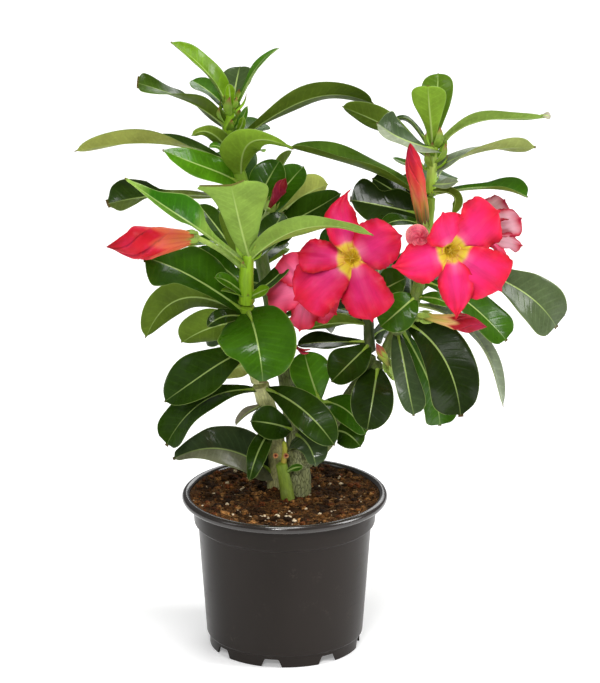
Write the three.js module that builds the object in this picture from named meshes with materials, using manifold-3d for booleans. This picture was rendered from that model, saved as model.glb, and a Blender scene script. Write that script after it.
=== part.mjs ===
// Potted desert rose (adenium): a leafy plant with pink blooms in a dark nursery pot.
// Millimetres, +Z up. The origin is the middle of the pot's underside, +X is the viewer's right
// and -Y faces the viewer.

import * as THREE from 'three';
import Module from 'manifold-3d';
import { mergeVertices } from 'three/addons/utils/BufferGeometryUtils.js';

const wasm = await Module();
wasm.setup();

// ---------------------------------------------------------------- driving dimensions

const GAP = 0.3; // clearance between pieces that touch
const BLADE = 0.9; // thickness of a leaf
const PETAL = 0.9; // thickness of a petal

const POT = {
  height: 101,
  lipRadius: 62.3,
  lipRound: 2.7,
  collarRadius: 58.2,
  collarFoot: 82.2,
  collarRound: 0.9, // how much narrower the collar is at its foot
  collarSlope: 1.7, // height of the step from the collar to the body
  bodyTop: 54.8,
  bodyFoot: 49.5,
  skirtRadius: 47.6,
  skirtHeight: 7.2,
  floorRadius: 34, // the middle of the floor, which stands on the ground
  floorRise: 6.6, // how high the floor is raised round it, behind the notches
  wall: 1.4,
  sides: 28,
};
const NOTCH = {
  count: 8,
  width: 9.7,
  height: 6.3,
  first: -10, // degrees round from the viewer's side
  shoulder: 1.6, // slant at the top and at the foot
  depth: 6,
  holeRadius: 2.3,
  holeAt: 42,
};
const SOIL = { level: 95.6, relief: 0.55, mound: 1.6, depth: 16 }; // depth: how deep the stems stand

// The photograph's frame and the camera that it was taken with: a plant's bends are read off
// along lines of sight, and only the depth of each point is a guess.
const PHOTO_MIDDLE = [300, 341.5];
const SCALE = 0.6275; // millimetres a pixel, at the pot's axis
const EYE_DISTANCE = 4000;
const ELEVATION = THREE.MathUtils.degToRad(19);
const AIM = new THREE.Vector3(9.7, 0, 201.3);

const EYE_RIGHT = new THREE.Vector3(1, 0, 0);
const EYE_FORWARD = new THREE.Vector3(0, Math.cos(ELEVATION), -Math.sin(ELEVATION));
const EYE_UP = new THREE.Vector3(0, Math.sin(ELEVATION), Math.cos(ELEVATION));
const TO_EYE = EYE_FORWARD.clone().negate();
const EYE = AIM.clone().addScaledVector(EYE_FORWARD, -EYE_DISTANCE);
const FOCAL = EYE_DISTANCE / SCALE;

// The point on the line of sight through pixel (u, v) that lies at depth y.
function place([u, v, y]) {
  const ray = EYE_FORWARD.clone()
    .addScaledVector(EYE_RIGHT, (u - PHOTO_MIDDLE[0]) / FOCAL)
    .addScaledVector(EYE_UP, (PHOTO_MIDDLE[1] - v) / FOCAL);
  return EYE.clone().addScaledVector(ray, (y - EYE.y) / ray.y);
}

// ---------------------------------------------------------------- colours

const finish = (color, roughness) => new THREE.MeshStandardMaterial({ color, roughness, metalness: 0 });
const PLASTIC = finish(0x3a3733, 0.38);
const PEAT = finish(0x40281a, 0.95);
const BARK = finish(0x84896a, 0.8);
const LEAF = finish(0x2f4d1d, 0.3);
const YOUNG = finish(0x86b43a, 0.4);
const PINK = finish(0xe0285e, 0.5);
const BUD = finish(0xc8243c, 0.5);
const CALYX = finish(0x8fae45, 0.55);

// ---------------------------------------------------------------- solids

function solidOf(geometry) {
  const bare = geometry.index ? geometry.toNonIndexed() : geometry;
  const shape = new THREE.BufferGeometry();
  shape.setAttribute('position', bare.getAttribute('position').clone());
  const merged = mergeVertices(shape, 1e-4);
  const corners = Array.from(merged.index.array);
  const triVerts = [];
  for (let i = 0; i < corners.length; i += 3) {
    const [a, b, c] = corners.slice(i, i + 3);
    if (a !== b && b !== c && c !== a) triVerts.push(a, b, c);
  }
  const vertProperties = new Float32Array(merged.getAttribute('position').array);
  const mesh = new wasm.Mesh({ numProp: 3, vertProperties, triVerts: new Uint32Array(triVerts) });
  return new wasm.Manifold(mesh);
}

function geometryOf(solid) {
  const { vertProperties, triVerts } = solid.getMesh();
  const geometry = new THREE.BufferGeometry();
  geometry.setAttribute('position', new THREE.BufferAttribute(new Float32Array(vertProperties), 3));
  geometry.setIndex(Array.from(triVerts));
  geometry.computeVertexNormals();
  return geometry;
}

const fuse = (solids) => solids.reduce((whole, piece) => whole.add(piece));
const cut = (solid, tools) => tools.reduce((whole, tool) => whole.subtract(tool), solid);

// A closed surface from points and triangles, turned so that its faces point out.
function closed(points, triangles) {
  let volume = 0;
  for (const [a, b, c] of triangles) {
    const normal = new THREE.Vector3().crossVectors(points[b], points[c]);
    volume += points[a].dot(normal);
  }
  const order = volume < 0 ? triangles.map(([a, b, c]) => [a, c, b]) : triangles;
  const geometry = new THREE.BufferGeometry().setFromPoints(points);
  geometry.setIndex(order.flat());
  return geometry;
}

// A closed skin through rings of equal count, with flat ends.
function loft(rings) {
  const sides = rings[0].length;
  const points = rings.flat();
  const triangles = [];
  for (let i = 0; i + 1 < rings.length; i++) {
    for (let j = 0; j < sides; j++) {
      const a = i * sides + j;
      const b = i * sides + ((j + 1) % sides);
      triangles.push([a, b, b + sides], [a, b + sides, a + sides]);
    }
  }
  const last = (rings.length - 1) * sides;
  for (let j = 1; j + 1 < sides; j++) {
    triangles.push([0, j + 1, j], [last, last + j, last + j + 1]);
  }
  return closed(points, triangles);
}

// A closed sheet between two equal grids of points, split alike on both faces.
function sheet(top, bottom) {
  const rows = top.length;
  const columns = top[0].length;
  const points = [...top.flat(), ...bottom.flat()];
  const under = rows * columns;
  const at = (i, j) => i * columns + j;
  const triangles = [];
  const wall = (a, b) => triangles.push([a, a + under, b + under], [a, b + under, b]);
  for (let i = 0; i + 1 < rows; i++) {
    for (let j = 0; j + 1 < columns; j++) {
      const [a, b, c, d] = [at(i, j), at(i, j + 1), at(i + 1, j + 1), at(i + 1, j)];
      triangles.push([a, b, c], [a, c, d]);
      triangles.push([a + under, c + under, b + under], [a + under, d + under, c + under]);
    }
    wall(at(i + 1, 0), at(i, 0));
    wall(at(i, columns - 1), at(i + 1, columns - 1));
  }
  for (let j = 0; j + 1 < columns; j++) {
    wall(at(0, j), at(0, j + 1));
    wall(at(rows - 1, j + 1), at(rows - 1, j));
  }
  return closed(points, triangles.map(([a, b, c]) => [a, c, b]));
}

// ---------------------------------------------------------------- stems

const STEM_SIDES = 6;

// A tapering stem through points, each with its own radius. grow swells it all round, ends too.
function stem(points, radii, { sides = STEM_SIDES, steps = points.length > 4 ? 1 : 2, grow = 0 } = {}) {
  const curve = new THREE.CatmullRomCurve3(points, false, 'centripetal');
  const count = (points.length - 1) * steps;
  const frames = curve.computeFrenetFrames(count, false);
  const rings = [];
  for (let i = 0; i <= count; i++) {
    const along = i / count;
    const middle = curve.getPointAt(along);
    if (i === 0) middle.addScaledVector(frames.tangents[i], -grow);
    if (i === count) middle.addScaledVector(frames.tangents[i], grow);
    const spot = along * (radii.length - 1);
    const low = Math.min(Math.floor(spot), radii.length - 2);
    const radius = THREE.MathUtils.lerp(radii[low], radii[low + 1], spot - low) + grow;
    const ring = [];
    for (let j = 0; j < sides; j++) {
      const turn = (2 * Math.PI * j) / sides;
      const point = middle.clone();
      point.addScaledVector(frames.normals[i], radius * Math.cos(turn));
      point.addScaledVector(frames.binormals[i], radius * Math.sin(turn));
      ring.push(point);
    }
    rings.push(ring);
  }
  return solidOf(loft(rings));
}

// A stem read off the photograph, by its pixels and depths.
const branch = ({ path, radii }, grow = 0) => stem(path.map(place), radii, { grow });

// A stem out of the soil: it goes on straight down from its first point.
function rooted({ path, radii }, grow = 0) {
  const [first, ...rest] = path.map(place);
  const foot = first.clone().setZ(SOIL.level - SOIL.depth);
  return stem([foot, first, ...rest], [radii[0], ...radii], { grow });
}

// ---------------------------------------------------------------- leaves and petals

const SPANS = 4; // lengths that a blade is split into, shorter towards its broad end
const SLIM = 17; // a narrower blade has a span less
const EASE = 1.4; // how much shorter the last spans are
const ROOT = 1.1; // half the width of a leaf where it leaves its stem
const TIP = 0.1; // share of the full width that is left, each side, at its very tip

// How wide a blade is along its length, from 0 to 1: a wedge to a broad rounded end.
const spread = (t, widest, blunt) => Math.sin(Math.PI * t ** widest) ** blunt;

// A blade along the curve base, mid, tip. Its upper face looks towards the eye when roll is 0,
// up when it is 90 and away when it is 180. twist turns the tip half further, and fold lifts
// the two halves into a V.
function blade({
  base,
  mid,
  tip,
  width,
  roll = 0,
  twist = 0,
  fold = 12,
  widest = 1.6,
  blunt = 0.6,
  thick = BLADE,
  root = ROOT,
  spans = width < SLIM ? SPANS - 1 : SPANS,
  toward = TO_EYE,
  up = EYE_UP,
}) {
  const bend = mid.clone().multiplyScalar(2).addScaledVector(base, -0.5).addScaledVector(tip, -0.5);
  const curve = new THREE.QuadraticBezierCurve3(base, bend, tip);
  const side = new THREE.Vector3();
  const frameAt = (t) => {
    const ahead = curve.getTangent(t);
    const face = toward.clone().addScaledVector(ahead, -toward.dot(ahead)).normalize();
    side.crossVectors(face, ahead);
    return { ahead, face, side: side.clone() };
  };
  const sign = frameAt(0.5).side.dot(up) < 0 ? -1 : 1;
  const lift = THREE.MathUtils.degToRad(fold);
  const top = [];
  const bottom = [];
  for (let i = 0; i <= spans; i++) {
    const t = 1 - (1 - i / spans) ** EASE;
    const { ahead, face, side: across } = frameAt(t);
    const turn = THREE.MathUtils.degToRad(roll + twist * (t - 0.5));
    const normal = face.multiplyScalar(Math.cos(turn));
    normal.addScaledVector(across, sign * Math.sin(turn));
    const sideways = new THREE.Vector3().crossVectors(ahead, normal);
    const half = Math.max((width / 2) * spread(t, widest, blunt), t < 0.5 ? root : width * TIP);
    const row = [-1, 0, 1].map((j) =>
      curve
        .getPoint(t)
        .addScaledVector(sideways, j * half * Math.cos(lift))
        .addScaledVector(normal, Math.abs(j) * half * Math.sin(lift)),
    );
    top.push(row);
    bottom.push(row.map((point) => point.clone().addScaledVector(normal, -thick)));
  }
  return solidOf(sheet(top, bottom));
}

// A leaf read off the photograph.
const leaf = ({ base, mid, tip, ...form }) =>
  blade({ base: place(base), mid: place(mid), tip: place(tip), ...form });

// ---------------------------------------------------------------- pot and soil

const around = (degrees) => THREE.MathUtils.degToRad(degrees);

function lathe(profile, sides) {
  const points = profile.map(([radius, z]) => new THREE.Vector2(radius, z));
  return new THREE.LatheGeometry(points, sides).rotateX(Math.PI / 2);
}

function potProfile() {
  const { height, lipRadius, lipRound, wall } = POT;
  const lipMiddle = height - lipRound;
  const lip = [-100, -25, 45, 120].map((degrees) => [
    lipRadius + lipRound * Math.cos(around(degrees)),
    lipMiddle + lipRound * Math.sin(around(degrees)),
  ]);
  const floor = POT.floorRise;
  const collarFootRadius = POT.collarRadius - POT.collarRound;
  const underCollar = POT.collarFoot - POT.collarSlope;
  return [
    [0, 0],
    [POT.floorRadius, 0],
    [POT.floorRadius + 3, floor],
    [POT.skirtRadius - wall, floor],
    [POT.skirtRadius - wall, 0],
    [POT.skirtRadius, 0],
    [POT.skirtRadius, POT.skirtHeight],
    [POT.bodyFoot, POT.skirtHeight + wall],
    [POT.bodyTop, underCollar],
    [collarFootRadius, POT.collarFoot],
    [POT.collarRadius, lipMiddle - lipRound],
    ...lip,
    [POT.collarRadius - wall, lipMiddle - 3.4],
    [collarFootRadius - wall, POT.collarFoot],
    [POT.bodyTop - wall, underCollar],
    [POT.bodyFoot - wall, POT.skirtHeight + 2 * wall],
    [POT.floorRadius + 4, floor + 2 * wall],
    [POT.floorRadius + 1, wall],
    [0, wall],
  ];
}

// Eight notches round the skirt, each with a drain hole in the raised floor behind it.
function notchTools() {
  const tools = [];
  for (let k = 0; k < NOTCH.count; k++) {
    const turn = around(NOTCH.first + (360 / NOTCH.count) * k);
    const half = NOTCH.width / 2;
    const slant = NOTCH.shoulder;
    const arch = new THREE.Shape();
    arch.moveTo(-half - slant, -slant);
    arch.lineTo(half + slant, -slant);
    arch.lineTo(half, slant);
    arch.lineTo(half - slant, NOTCH.height);
    arch.lineTo(slant - half, NOTCH.height);
    arch.lineTo(-half, slant);
    arch.closePath();
    const gate = new THREE.ExtrudeGeometry(arch, { depth: NOTCH.depth, bevelEnabled: false });
    gate.rotateX(Math.PI / 2);
    gate.translate(0, NOTCH.depth / 2 - POT.skirtRadius, 0);
    gate.rotateZ(turn);
    const hole = new THREE.CylinderGeometry(NOTCH.holeRadius, NOTCH.holeRadius, 8, 6);
    hole.rotateX(Math.PI / 2);
    hole.translate(0, -NOTCH.holeAt, POT.skirtHeight);
    hole.rotateZ(turn);
    tools.push(solidOf(gate), solidOf(hole));
  }
  return tools;
}

const pot = () => cut(solidOf(lathe(potProfile(), POT.sides)), notchTools());

// Crumbly ground: a low mound under a few waves of different lengths.
function ground(x, y) {
  const waves = Math.sin(x * 0.31 + 1) * Math.cos(y * 0.27) + 0.6 * Math.sin(x * 0.13 - y * 0.71);
  const mound = SOIL.mound * (1 - Math.hypot(x, y) / POT.collarRadius);
  return SOIL.level + mound + SOIL.relief * waves;
}

// Soil that fills the pot, with a plain hole for each stem that stands in it.
function soil(stems) {
  const wall = POT.wall + GAP;
  const floor = POT.floorRise + 2 * POT.wall + GAP;
  const edge = POT.collarRadius - wall;
  const profile = [
    [0, POT.wall + GAP],
    [POT.floorRadius + 0.5, POT.wall + GAP],
    [POT.floorRadius + 3.4, floor],
    [POT.bodyFoot - wall - 0.1, POT.skirtHeight + 2 * POT.wall + 2 * GAP],
    [POT.bodyTop - wall, POT.collarFoot - 1.5],
    [edge - 1, POT.collarFoot + 0.2],
    [edge - 0.1, SOIL.level - 1.6],
    ...[0.97, 0.76, 0.5, 0.25, 0].map((share) => [share * edge, SOIL.level]),
  ];
  const body = lathe(profile, POT.sides);
  const position = body.getAttribute('position');
  for (let i = 0; i < position.count; i++) {
    if (position.getZ(i) > SOIL.level - 0.01) {
      position.setZ(i, ground(position.getX(i), position.getY(i)));
    }
  }
  return cut(solidOf(body), stems);
}

// ---------------------------------------------------------------- stems, by pixel and depth

const FRONT_TRUNK = {
  path: [[276, 490, 17], [277, 450, 14], [273, 425, 11], [266, 403, 8], [260, 383, 6]],
  radii: [5.6, 5.2, 4.8, 4.5, 4.3],
};
const FRONT_SHOOT = {
  path: [[259.6, 382, 5.8], [252, 350, 2], [248, 325, -1], [247, 305, -4]],
  radii: [4.3, 4.2, 4.1, 4],
};
const FRONT_TIP = {
  path: [[247, 304, -4], [246, 285, -7], [247, 265, -11], [250, 247, -16]],
  radii: [4, 3.9, 3.6, 2.6],
};
const BACK_TRUNK = {
  path: [[298, 495, 8], [298, 470, 9], [295, 446, 11]],
  radii: [8.6, 7.8, 6.6],
};
const LEFT_BRANCH = {
  path: [[296, 462, 9.5], [294, 436, 13], [290, 410, 17], [286, 382, 20], [278, 340, 26]],
  radii: [5.6, 5.2, 4.8, 4.5, 4.3],
};
const RIGHT_BRANCH = {
  path: [[298, 466, 9], [310, 456, 8], [325, 443, 6], [340, 417, 3], [351, 395, 1], [369, 373, -2]],
  radii: [5.8, 5.4, 5, 4.8, 4.6, 4.6],
};
const FORK_MIDDLE = { path: [[366, 377, -1.5], [370, 366, -1], [370, 354, 1]], radii: [4, 3.8, 3.6] };
const FORK_RIGHT = { path: [[366, 377, -1.5], [374, 369, -2.8], [380.5, 362.8, -3.6]], radii: [4.2, 4.1] };
const LEFT_SHOOT = {
  path: [[277.6, 339, 26], [270, 300, 32], [255, 230, 40], [243, 187, 42]],
  radii: [4.3, 4.1, 3.8, 3.6],
};
const LEFT_TIP = {
  path: [[242.7, 186, 42], [236, 165, 41], [229, 148, 40], [228, 128, 39], [232, 106, 38]],
  radii: [3.6, 3.6, 3.4, 3.1, 2],
};
const MIDDLE_SHOOT = {
  path: [[370, 353, 1], [369, 335, 6], [368, 310, 9], [366, 285, 12], [365, 262, 13]],
  radii: [3.6, 3.4, 3.2, 3, 2.4],
};
const SIDE_SHOOT = { path: [[325, 436, 2], [322, 416, -2], [320, 399, -5]], radii: [3.2, 3, 2.4] };
const RIGHT_SHOOT = {
  path: [
    [382, 361, -3.8],
    [395, 334, -8],
    [412, 306, -10],
    [423, 265, -10],
    [427, 229, -8],
    [430, 196, -5],
  ],
  radii: [4.1, 4, 3.9, 3.8, 3.7, 3.6],
};
const RIGHT_TIP = {
  path: [[430, 195, -5], [432, 170, -2], [434, 146, 0]],
  radii: [3.6, 3.2, 2],
};
const STUB = { path: [[288, 501, -3], [285, 482, -2], [281, 462, -1]], radii: [4.6, 3.9, 3.6] };
const PEG = { path: [[283, 466, -1.5], [285, 450, 0], [284, 441, 1]], radii: [1.9, 1.5] };
const STUB_LEAF = { base: [287, 472, -4], mid: [294, 468, -7], tip: [303, 467, -9], width: 5, spans: 3 };

// ---------------------------------------------------------------- leaves, by pixel and depth

const LEFT_TIP_LEAVES = [
  { base: [230, 112, 38], mid: [205, 72, 34], tip: [171, 42, 30], width: 22, roll: 60, fold: 25 },
  { base: [228, 128, 39], mid: [184, 97, 32], tip: [138, 83, 28], width: 22, roll: 68, twist: -30 },
  { base: [232, 158, 40], mid: [160, 146, 30], tip: [74, 152, 20], width: 26, roll: 112 },
  { base: [238, 182, 40], mid: [205, 169, 22], tip: [163, 149, 8], width: 27, roll: 42 },
  { base: [229, 112, 40], mid: [210, 92, 50], tip: [191, 79, 58], width: 15, roll: 70 },
  { base: [232, 108, 38], mid: [236, 84, 52], tip: [240, 66, 64], width: 22, roll: 25 },
  { base: [233, 112, 38], mid: [253, 72, 42], tip: [279, 47, 48], width: 16, roll: 76 },
  { base: [236, 172, 40], mid: [252, 147, 20], tip: [293, 147, 8], width: 24, roll: 150 },
  { base: [230, 146, 40], mid: [304, 99, 34], tip: [374, 103, 34], width: 24, roll: 118 },
  { base: [231, 110, 37], mid: [230, 96, 33], tip: [229, 84, 30], width: 7, roll: 20 },
  { base: [230, 132, 38], mid: [240, 122, 34], tip: [247, 106, 31], width: 6, roll: 30 },
  { base: [235, 160, 43], mid: [248, 134, 66], tip: [263, 122, 92], width: 22, roll: 30, fold: 20 },
];
const LEFT_LEAVES = [
  { base: [252, 217, 40], mid: [264, 188, 47], tip: [280, 160, 52], width: 24, roll: 20 },
  { base: [248, 207, 42], mid: [276, 172, 58], tip: [291, 150, 66], width: 16, roll: 110 },
  { base: [255, 230, 40], mid: [281, 192, 50], tip: [304, 166, 58], width: 24, roll: 35 },
  { base: [256, 232, 42], mid: [295, 200, 64], tip: [328, 184, 76], width: 24, roll: 145 },
  { base: [258, 245, 39], mid: [302, 216, 42], tip: [341, 193, 44], width: 26, roll: 48 },
  { base: [259, 250, 40], mid: [274, 232, 48], tip: [292, 212, 56], width: 26, roll: 20 },
  { base: [246, 198, 41], mid: [175, 190, 34], tip: [107, 205, 22], width: 32, roll: 55, twist: -50 },
  { base: [257, 244, 38], mid: [222, 240, 32], tip: [184, 246, 24], width: 13, roll: 60 },
  { base: [244, 192, 44], mid: [236, 163, 74], tip: [222, 150, 104], width: 30, roll: 20, twist: 40 },
  { base: [252, 215, 43], mid: [272, 195, 70], tip: [302, 196, 92], width: 27, roll: -40 },
  { base: [257, 240, 42], mid: [240, 217, 66], tip: [214, 214, 84], width: 26, roll: 45, fold: 22 },
  { base: [262, 262, 40], mid: [266, 242, 80], tip: [262, 262, 118], width: 32, twist: -40, fold: 6 },
  { base: [268, 290, 36], mid: [244, 283, 52], tip: [220, 304, 62], width: 24, roll: 30 },
];
const FRONT_TIP_LEAVES = [
  { base: [249, 254, -15], mid: [240, 216, -36], tip: [232, 183, -52], width: 42, roll: 175, widest: 1.9 },
  { base: [250, 258, -14], mid: [305, 232, -38], tip: [374, 235, -54], width: 22, roll: 122 },
  { base: [247, 266, -13], mid: [188, 213, -38], tip: [125, 178, -48], width: 26, roll: 40, spans: 5 },
  { base: [246, 295, -6], mid: [230, 285, -14], tip: [216, 279, -21], width: 8, roll: 40, spans: 3 },
  { base: [247, 296, -6], mid: [258, 292, -12], tip: [269, 288, -18], width: 8, roll: 40, spans: 3 },
  { base: [246, 290, -6], mid: [236, 289, -12], tip: [223, 289, -17], width: 6, roll: 60, spans: 3 },
];
const FRONT_LEAVES = [
  { base: [248, 314, -5], mid: [257, 340, -38], tip: [263, 384, -50], width: 47, widest: 1.25, spans: 5 },
  { base: [248, 314, -3], mid: [190, 284, -12], tip: [143, 262, -20], width: 34, roll: 35, spans: 5 },
  { base: [248, 322, -1], mid: [190, 303, 14], tip: [145, 338, 18], width: 32, roll: 148 },
  { base: [248, 320, -2], mid: [212, 326, 4], tip: [181, 342, 8], width: 28, roll: 140 },
  { base: [248, 318, -3], mid: [226, 316, -16], tip: [207, 327, -24], width: 12, roll: 30 },
  { base: [251, 348, 1], mid: [208, 371, -8], tip: [164, 402, -14], width: 34, roll: 32 },
  { base: [254, 362, 4], mid: [238, 366, 16], tip: [221, 378, 24], width: 20, roll: 150 },
  { base: [252, 345, 4], mid: [228, 330, 22], tip: [205, 335, 42], width: 26, roll: 20, twist: 30 },
  { base: [257, 370, 6], mid: [249, 352, 30], tip: [244, 352, 62], width: 25, fold: 20 },
];
const MIDDLE_LEAVES = [
  { base: [368, 318, 8], mid: [322, 311, 16], tip: [281, 317, 20], width: 18, roll: 70 },
  { base: [368, 324, 7], mid: [330, 322, 4], tip: [304, 328, 2], width: 18, roll: 122 },
  { base: [369, 342, 4], mid: [328, 342, 4], tip: [297, 345, 2], width: 20, roll: 58 },
  { base: [370, 344, 3], mid: [352, 361, -10], tip: [331, 382, -16], width: 27, roll: 30 },
  { base: [367, 298, 11], mid: [386, 288, 2], tip: [406, 278, -4], width: 22, roll: 20 },
  { base: [368, 325, 10], mid: [345, 309, 40], tip: [322, 326, 64], width: 28, roll: 30 },
  { base: [367, 302, 12], mid: [378, 273, 52], tip: [381, 262, 96], width: 30, twist: 30, fold: 22 },
  { base: [366, 280, 14], mid: [345, 252, 34], tip: [318, 240, 58], width: 26, roll: 10, twist: -30 },
  { base: [369, 340, 7], mid: [388, 329, 28], tip: [400, 347, 50], width: 24, roll: -35 },
];
const SIDE_LEAVES = [
  { base: [320, 402, -4], mid: [311, 377, -3], tip: [304, 351, 1], width: 27, roll: 12 },
  { base: [321, 402, -4], mid: [345, 409, -12], tip: [366, 435, -16], width: 24, roll: 38 },
];
const RIGHT_LEAVES = [
  { base: [416, 296, -10], mid: [401, 309, -22], tip: [380, 327, -28], width: 26, roll: 10 },
  { base: [415, 298, -11], mid: [434, 298, -18], tip: [450, 306, -22], width: 10, roll: 30 },
  { base: [397, 331, -8], mid: [407, 374, -30], tip: [415, 417, -40], width: 23, roll: 22 },
  { base: [404, 321, -9], mid: [441, 357, -25], tip: [463, 419, -32], width: 34, roll: 5, widest: 1.4 },
  { base: [400, 326, -8], mid: [430, 384, -2], tip: [438, 427, -2], width: 22, roll: 30 },
  { base: [413, 304, -9], mid: [470, 333, 8], tip: [504, 407, 12], width: 22, roll: 80 },
  { base: [420, 280, -9], mid: [470, 306, -12], tip: [513, 339, -16], width: 28, roll: 40 },
  { base: [424, 258, -8], mid: [502, 278, 0], tip: [564, 325, 12], width: 36, roll: 30, widest: 2.2 },
  { base: [427, 214, -6], mid: [385, 201, 2], tip: [350, 197, 4], width: 28, roll: 42 },
  { base: [427, 217, -6], mid: [402, 196, 12], tip: [372, 178, 20], width: 26, roll: 30 },
  { base: [427, 228, -8], mid: [402, 220, -16], tip: [378, 231, -20], width: 16, roll: 60 },
  { base: [429, 200, -5], mid: [356, 166, 16], tip: [289, 146, 30], width: 26, roll: 72 },
  { base: [427, 228, -5], mid: [412, 199, 30], tip: [394, 190, 68], width: 30, roll: 25, fold: 20 },
  { base: [424, 262, -7], mid: [445, 238, 22], tip: [472, 238, 48], width: 30, roll: -40, twist: 30 },
  { base: [412, 304, -7], mid: [411, 274, 34], tip: [418, 279, 74], width: 28, fold: 6, twist: -40 },
  { base: [418, 286, -7], mid: [440, 272, 14], tip: [466, 284, 34], width: 26, roll: -30 },
  { base: [430, 198, -3], mid: [444, 172, 22], tip: [452, 166, 56], width: 26, twist: 40 },
];
const RIGHT_TIP_LEAVES = [
  { base: [433, 148, 0], mid: [429, 112, -14], tip: [428, 85, -22], width: 25, roll: 172 },
  { base: [433, 148, 1], mid: [437, 100, 18], tip: [438, 73, 28], width: 22, roll: 10 },
  { base: [433, 152, 0], mid: [490, 122, -4], tip: [552, 119, -8], width: 18, roll: 112 },
  { base: [432, 172, -2], mid: [478, 153, 2], tip: [535, 148, 0], width: 22, roll: 92, twist: -40 },
  { base: [430, 190, -4], mid: [480, 182, -2], tip: [528, 196, -4], width: 22, roll: 68 },
  { base: [431, 184, -4], mid: [443, 182, -12], tip: [457, 182, -18], width: 9, roll: 45 },
  { base: [430, 190, -5], mid: [455, 195, -16], tip: [452, 215, -22], width: 12, roll: 120 },
  { base: [433, 152, 0], mid: [404, 140, -10], tip: [377, 124, -16], width: 25, roll: 48, twist: -30 },
  { base: [432, 160, -1], mid: [385, 124, 16], tip: [342, 106, 24], width: 26, roll: 132 },
  { base: [433, 155, 0], mid: [410, 121, 18], tip: [388, 127, 28], width: 12, roll: 80 },
  { base: [432, 168, -2], mid: [412, 165, 6], tip: [393, 157, 10], width: 9, roll: 60 },
];

// Leaves that grow straight from the bark, one node each.
const LOW_LEAVES = [
  { base: [261, 392, 6], mid: [197, 401, -8], tip: [165, 446, -14], width: 26, roll: 52 },
  { base: [276, 476, 15], mid: [228, 450, -2], tip: [174, 459, -14], width: 33, roll: 47 },
  { base: [272, 428, 10], mid: [258, 452, -10], tip: [249, 481, -18], width: 17, roll: 20 },
  { base: [293, 430, 12], mid: [274, 424, -3], tip: [250, 421, -8], width: 22, roll: 12 },
  { base: [263, 394, 6], mid: [300, 411, -24], tip: [336, 447, -34], width: 30, roll: 12 },
  { base: [332, 432, 5], mid: [346, 433, -8], tip: [361, 447, -14], width: 19, roll: 10 },
  { base: [295, 442, 12], mid: [307, 448, -8], tip: [317, 468, -16], width: 17, roll: 15 },
  { base: [267, 406, 8], mid: [250, 414, 0], tip: [235, 425, -4], width: 8, roll: 40 },
  { base: [378, 366, -4], mid: [373, 397, -22], tip: [367, 431, -30], width: 28, roll: 5, widest: 1.3 },
  { base: [291, 415, 18], mid: [300, 394, 46], tip: [315, 398, 74], width: 26, fold: 20, twist: 30 },
  { base: [342, 412, 5], mid: [360, 396, 24], tip: [374, 414, 44], width: 25, roll: -30 },
];

// ---------------------------------------------------------------- blooms and buds

const TUBE_RADIUS = 2.2; // a corolla's tube where the calyx holds it
const TUBE_WALL = 0.9;
const FLARE = 0.62; // share of the mouth's radius that the funnel has halfway
const NECK = 0.86; // the same just under its mouth

// A frame along an axis: its side that looks most to the viewer's right, and the third way.
function axisFrame(from, to) {
  const ahead = to.clone().sub(from).normalize();
  const right = EYE_RIGHT.clone().addScaledVector(ahead, -EYE_RIGHT.dot(ahead)).normalize();
  const over = new THREE.Vector3().crossVectors(right, ahead);
  return { ahead, right, over };
}

// A body of revolution along an axis, with a profile of [distance, radius] pairs whose ends lie
// on the axis. pleats gives it that many twisted ridges, and teeth draws every other point of its
// last ring forward by so much.
function turned(from, to, profile, form = {}) {
  const { sides = 8, pleats = 0, ridge = 0, twist = 0, teeth = 0, grow = 0 } = form;
  const { ahead, right, over } = axisFrame(from, to);
  const points = [];
  const triangles = [];
  const rows = profile.length;
  profile.forEach(([distance, radius], i) => {
    const length = distance + (i === 0 ? -grow : 0) + (i === rows - 1 ? grow : 0);
    const on = i === 0 || i === rows - 1;
    for (let j = 0; j < (on ? 1 : sides); j++) {
      const turn = (2 * Math.PI * j) / sides + (twist * i) / rows;
      const swell = radius * (1 + ridge * Math.cos(pleats * ((2 * Math.PI * j) / sides))) + grow;
      const tooth = i === rows - 2 && j % 2 === 0 ? teeth : 0;
      const point = from.clone().addScaledVector(ahead, length + tooth);
      if (!on) {
        point.addScaledVector(right, swell * Math.cos(turn));
        point.addScaledVector(over, swell * Math.sin(turn));
      }
      points.push(point);
    }
  });
  const last = points.length - 1;
  const at = (i, j) => 1 + (i - 1) * sides + (j % sides);
  for (let j = 0; j < sides; j++) {
    triangles.push([0, at(1, j), at(1, j + 1)]);
    for (let i = 1; i + 2 < rows; i++) {
      triangles.push([at(i, j), at(i + 1, j), at(i + 1, j + 1)]);
      triangles.push([at(i, j), at(i + 1, j + 1), at(i, j + 1)]);
    }
    triangles.push([last, at(rows - 2, j + 1), at(rows - 2, j)]);
  }
  return solidOf(closed(points, triangles.map(([a, b, c]) => [a, c, b])));
}

// The corolla's funnel, as outer and inner profile. grow swells the outside and fills it.
function funnelProfile(length, mouth, grow) {
  const outside = [
    [-grow, 0],
    [-grow, TUBE_RADIUS * 0.8 + grow],
    [length * 0.25, TUBE_RADIUS + grow],
    [length * 0.5, mouth * FLARE + grow],
    [length * 0.85, mouth * NECK + grow],
    [length + grow, mouth + 0.6 + grow],
  ];
  if (grow > 0) return [...outside, [length + grow, 0]];
  return [
    ...outside,
    [length + 0.5, mouth - TUBE_WALL],
    [length * 0.85, mouth * NECK - TUBE_WALL],
    [length * 0.5, mouth * FLARE - TUBE_WALL],
    [length * 0.34, 0.9],
    [length * 0.3, 0],
  ];
}

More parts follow.
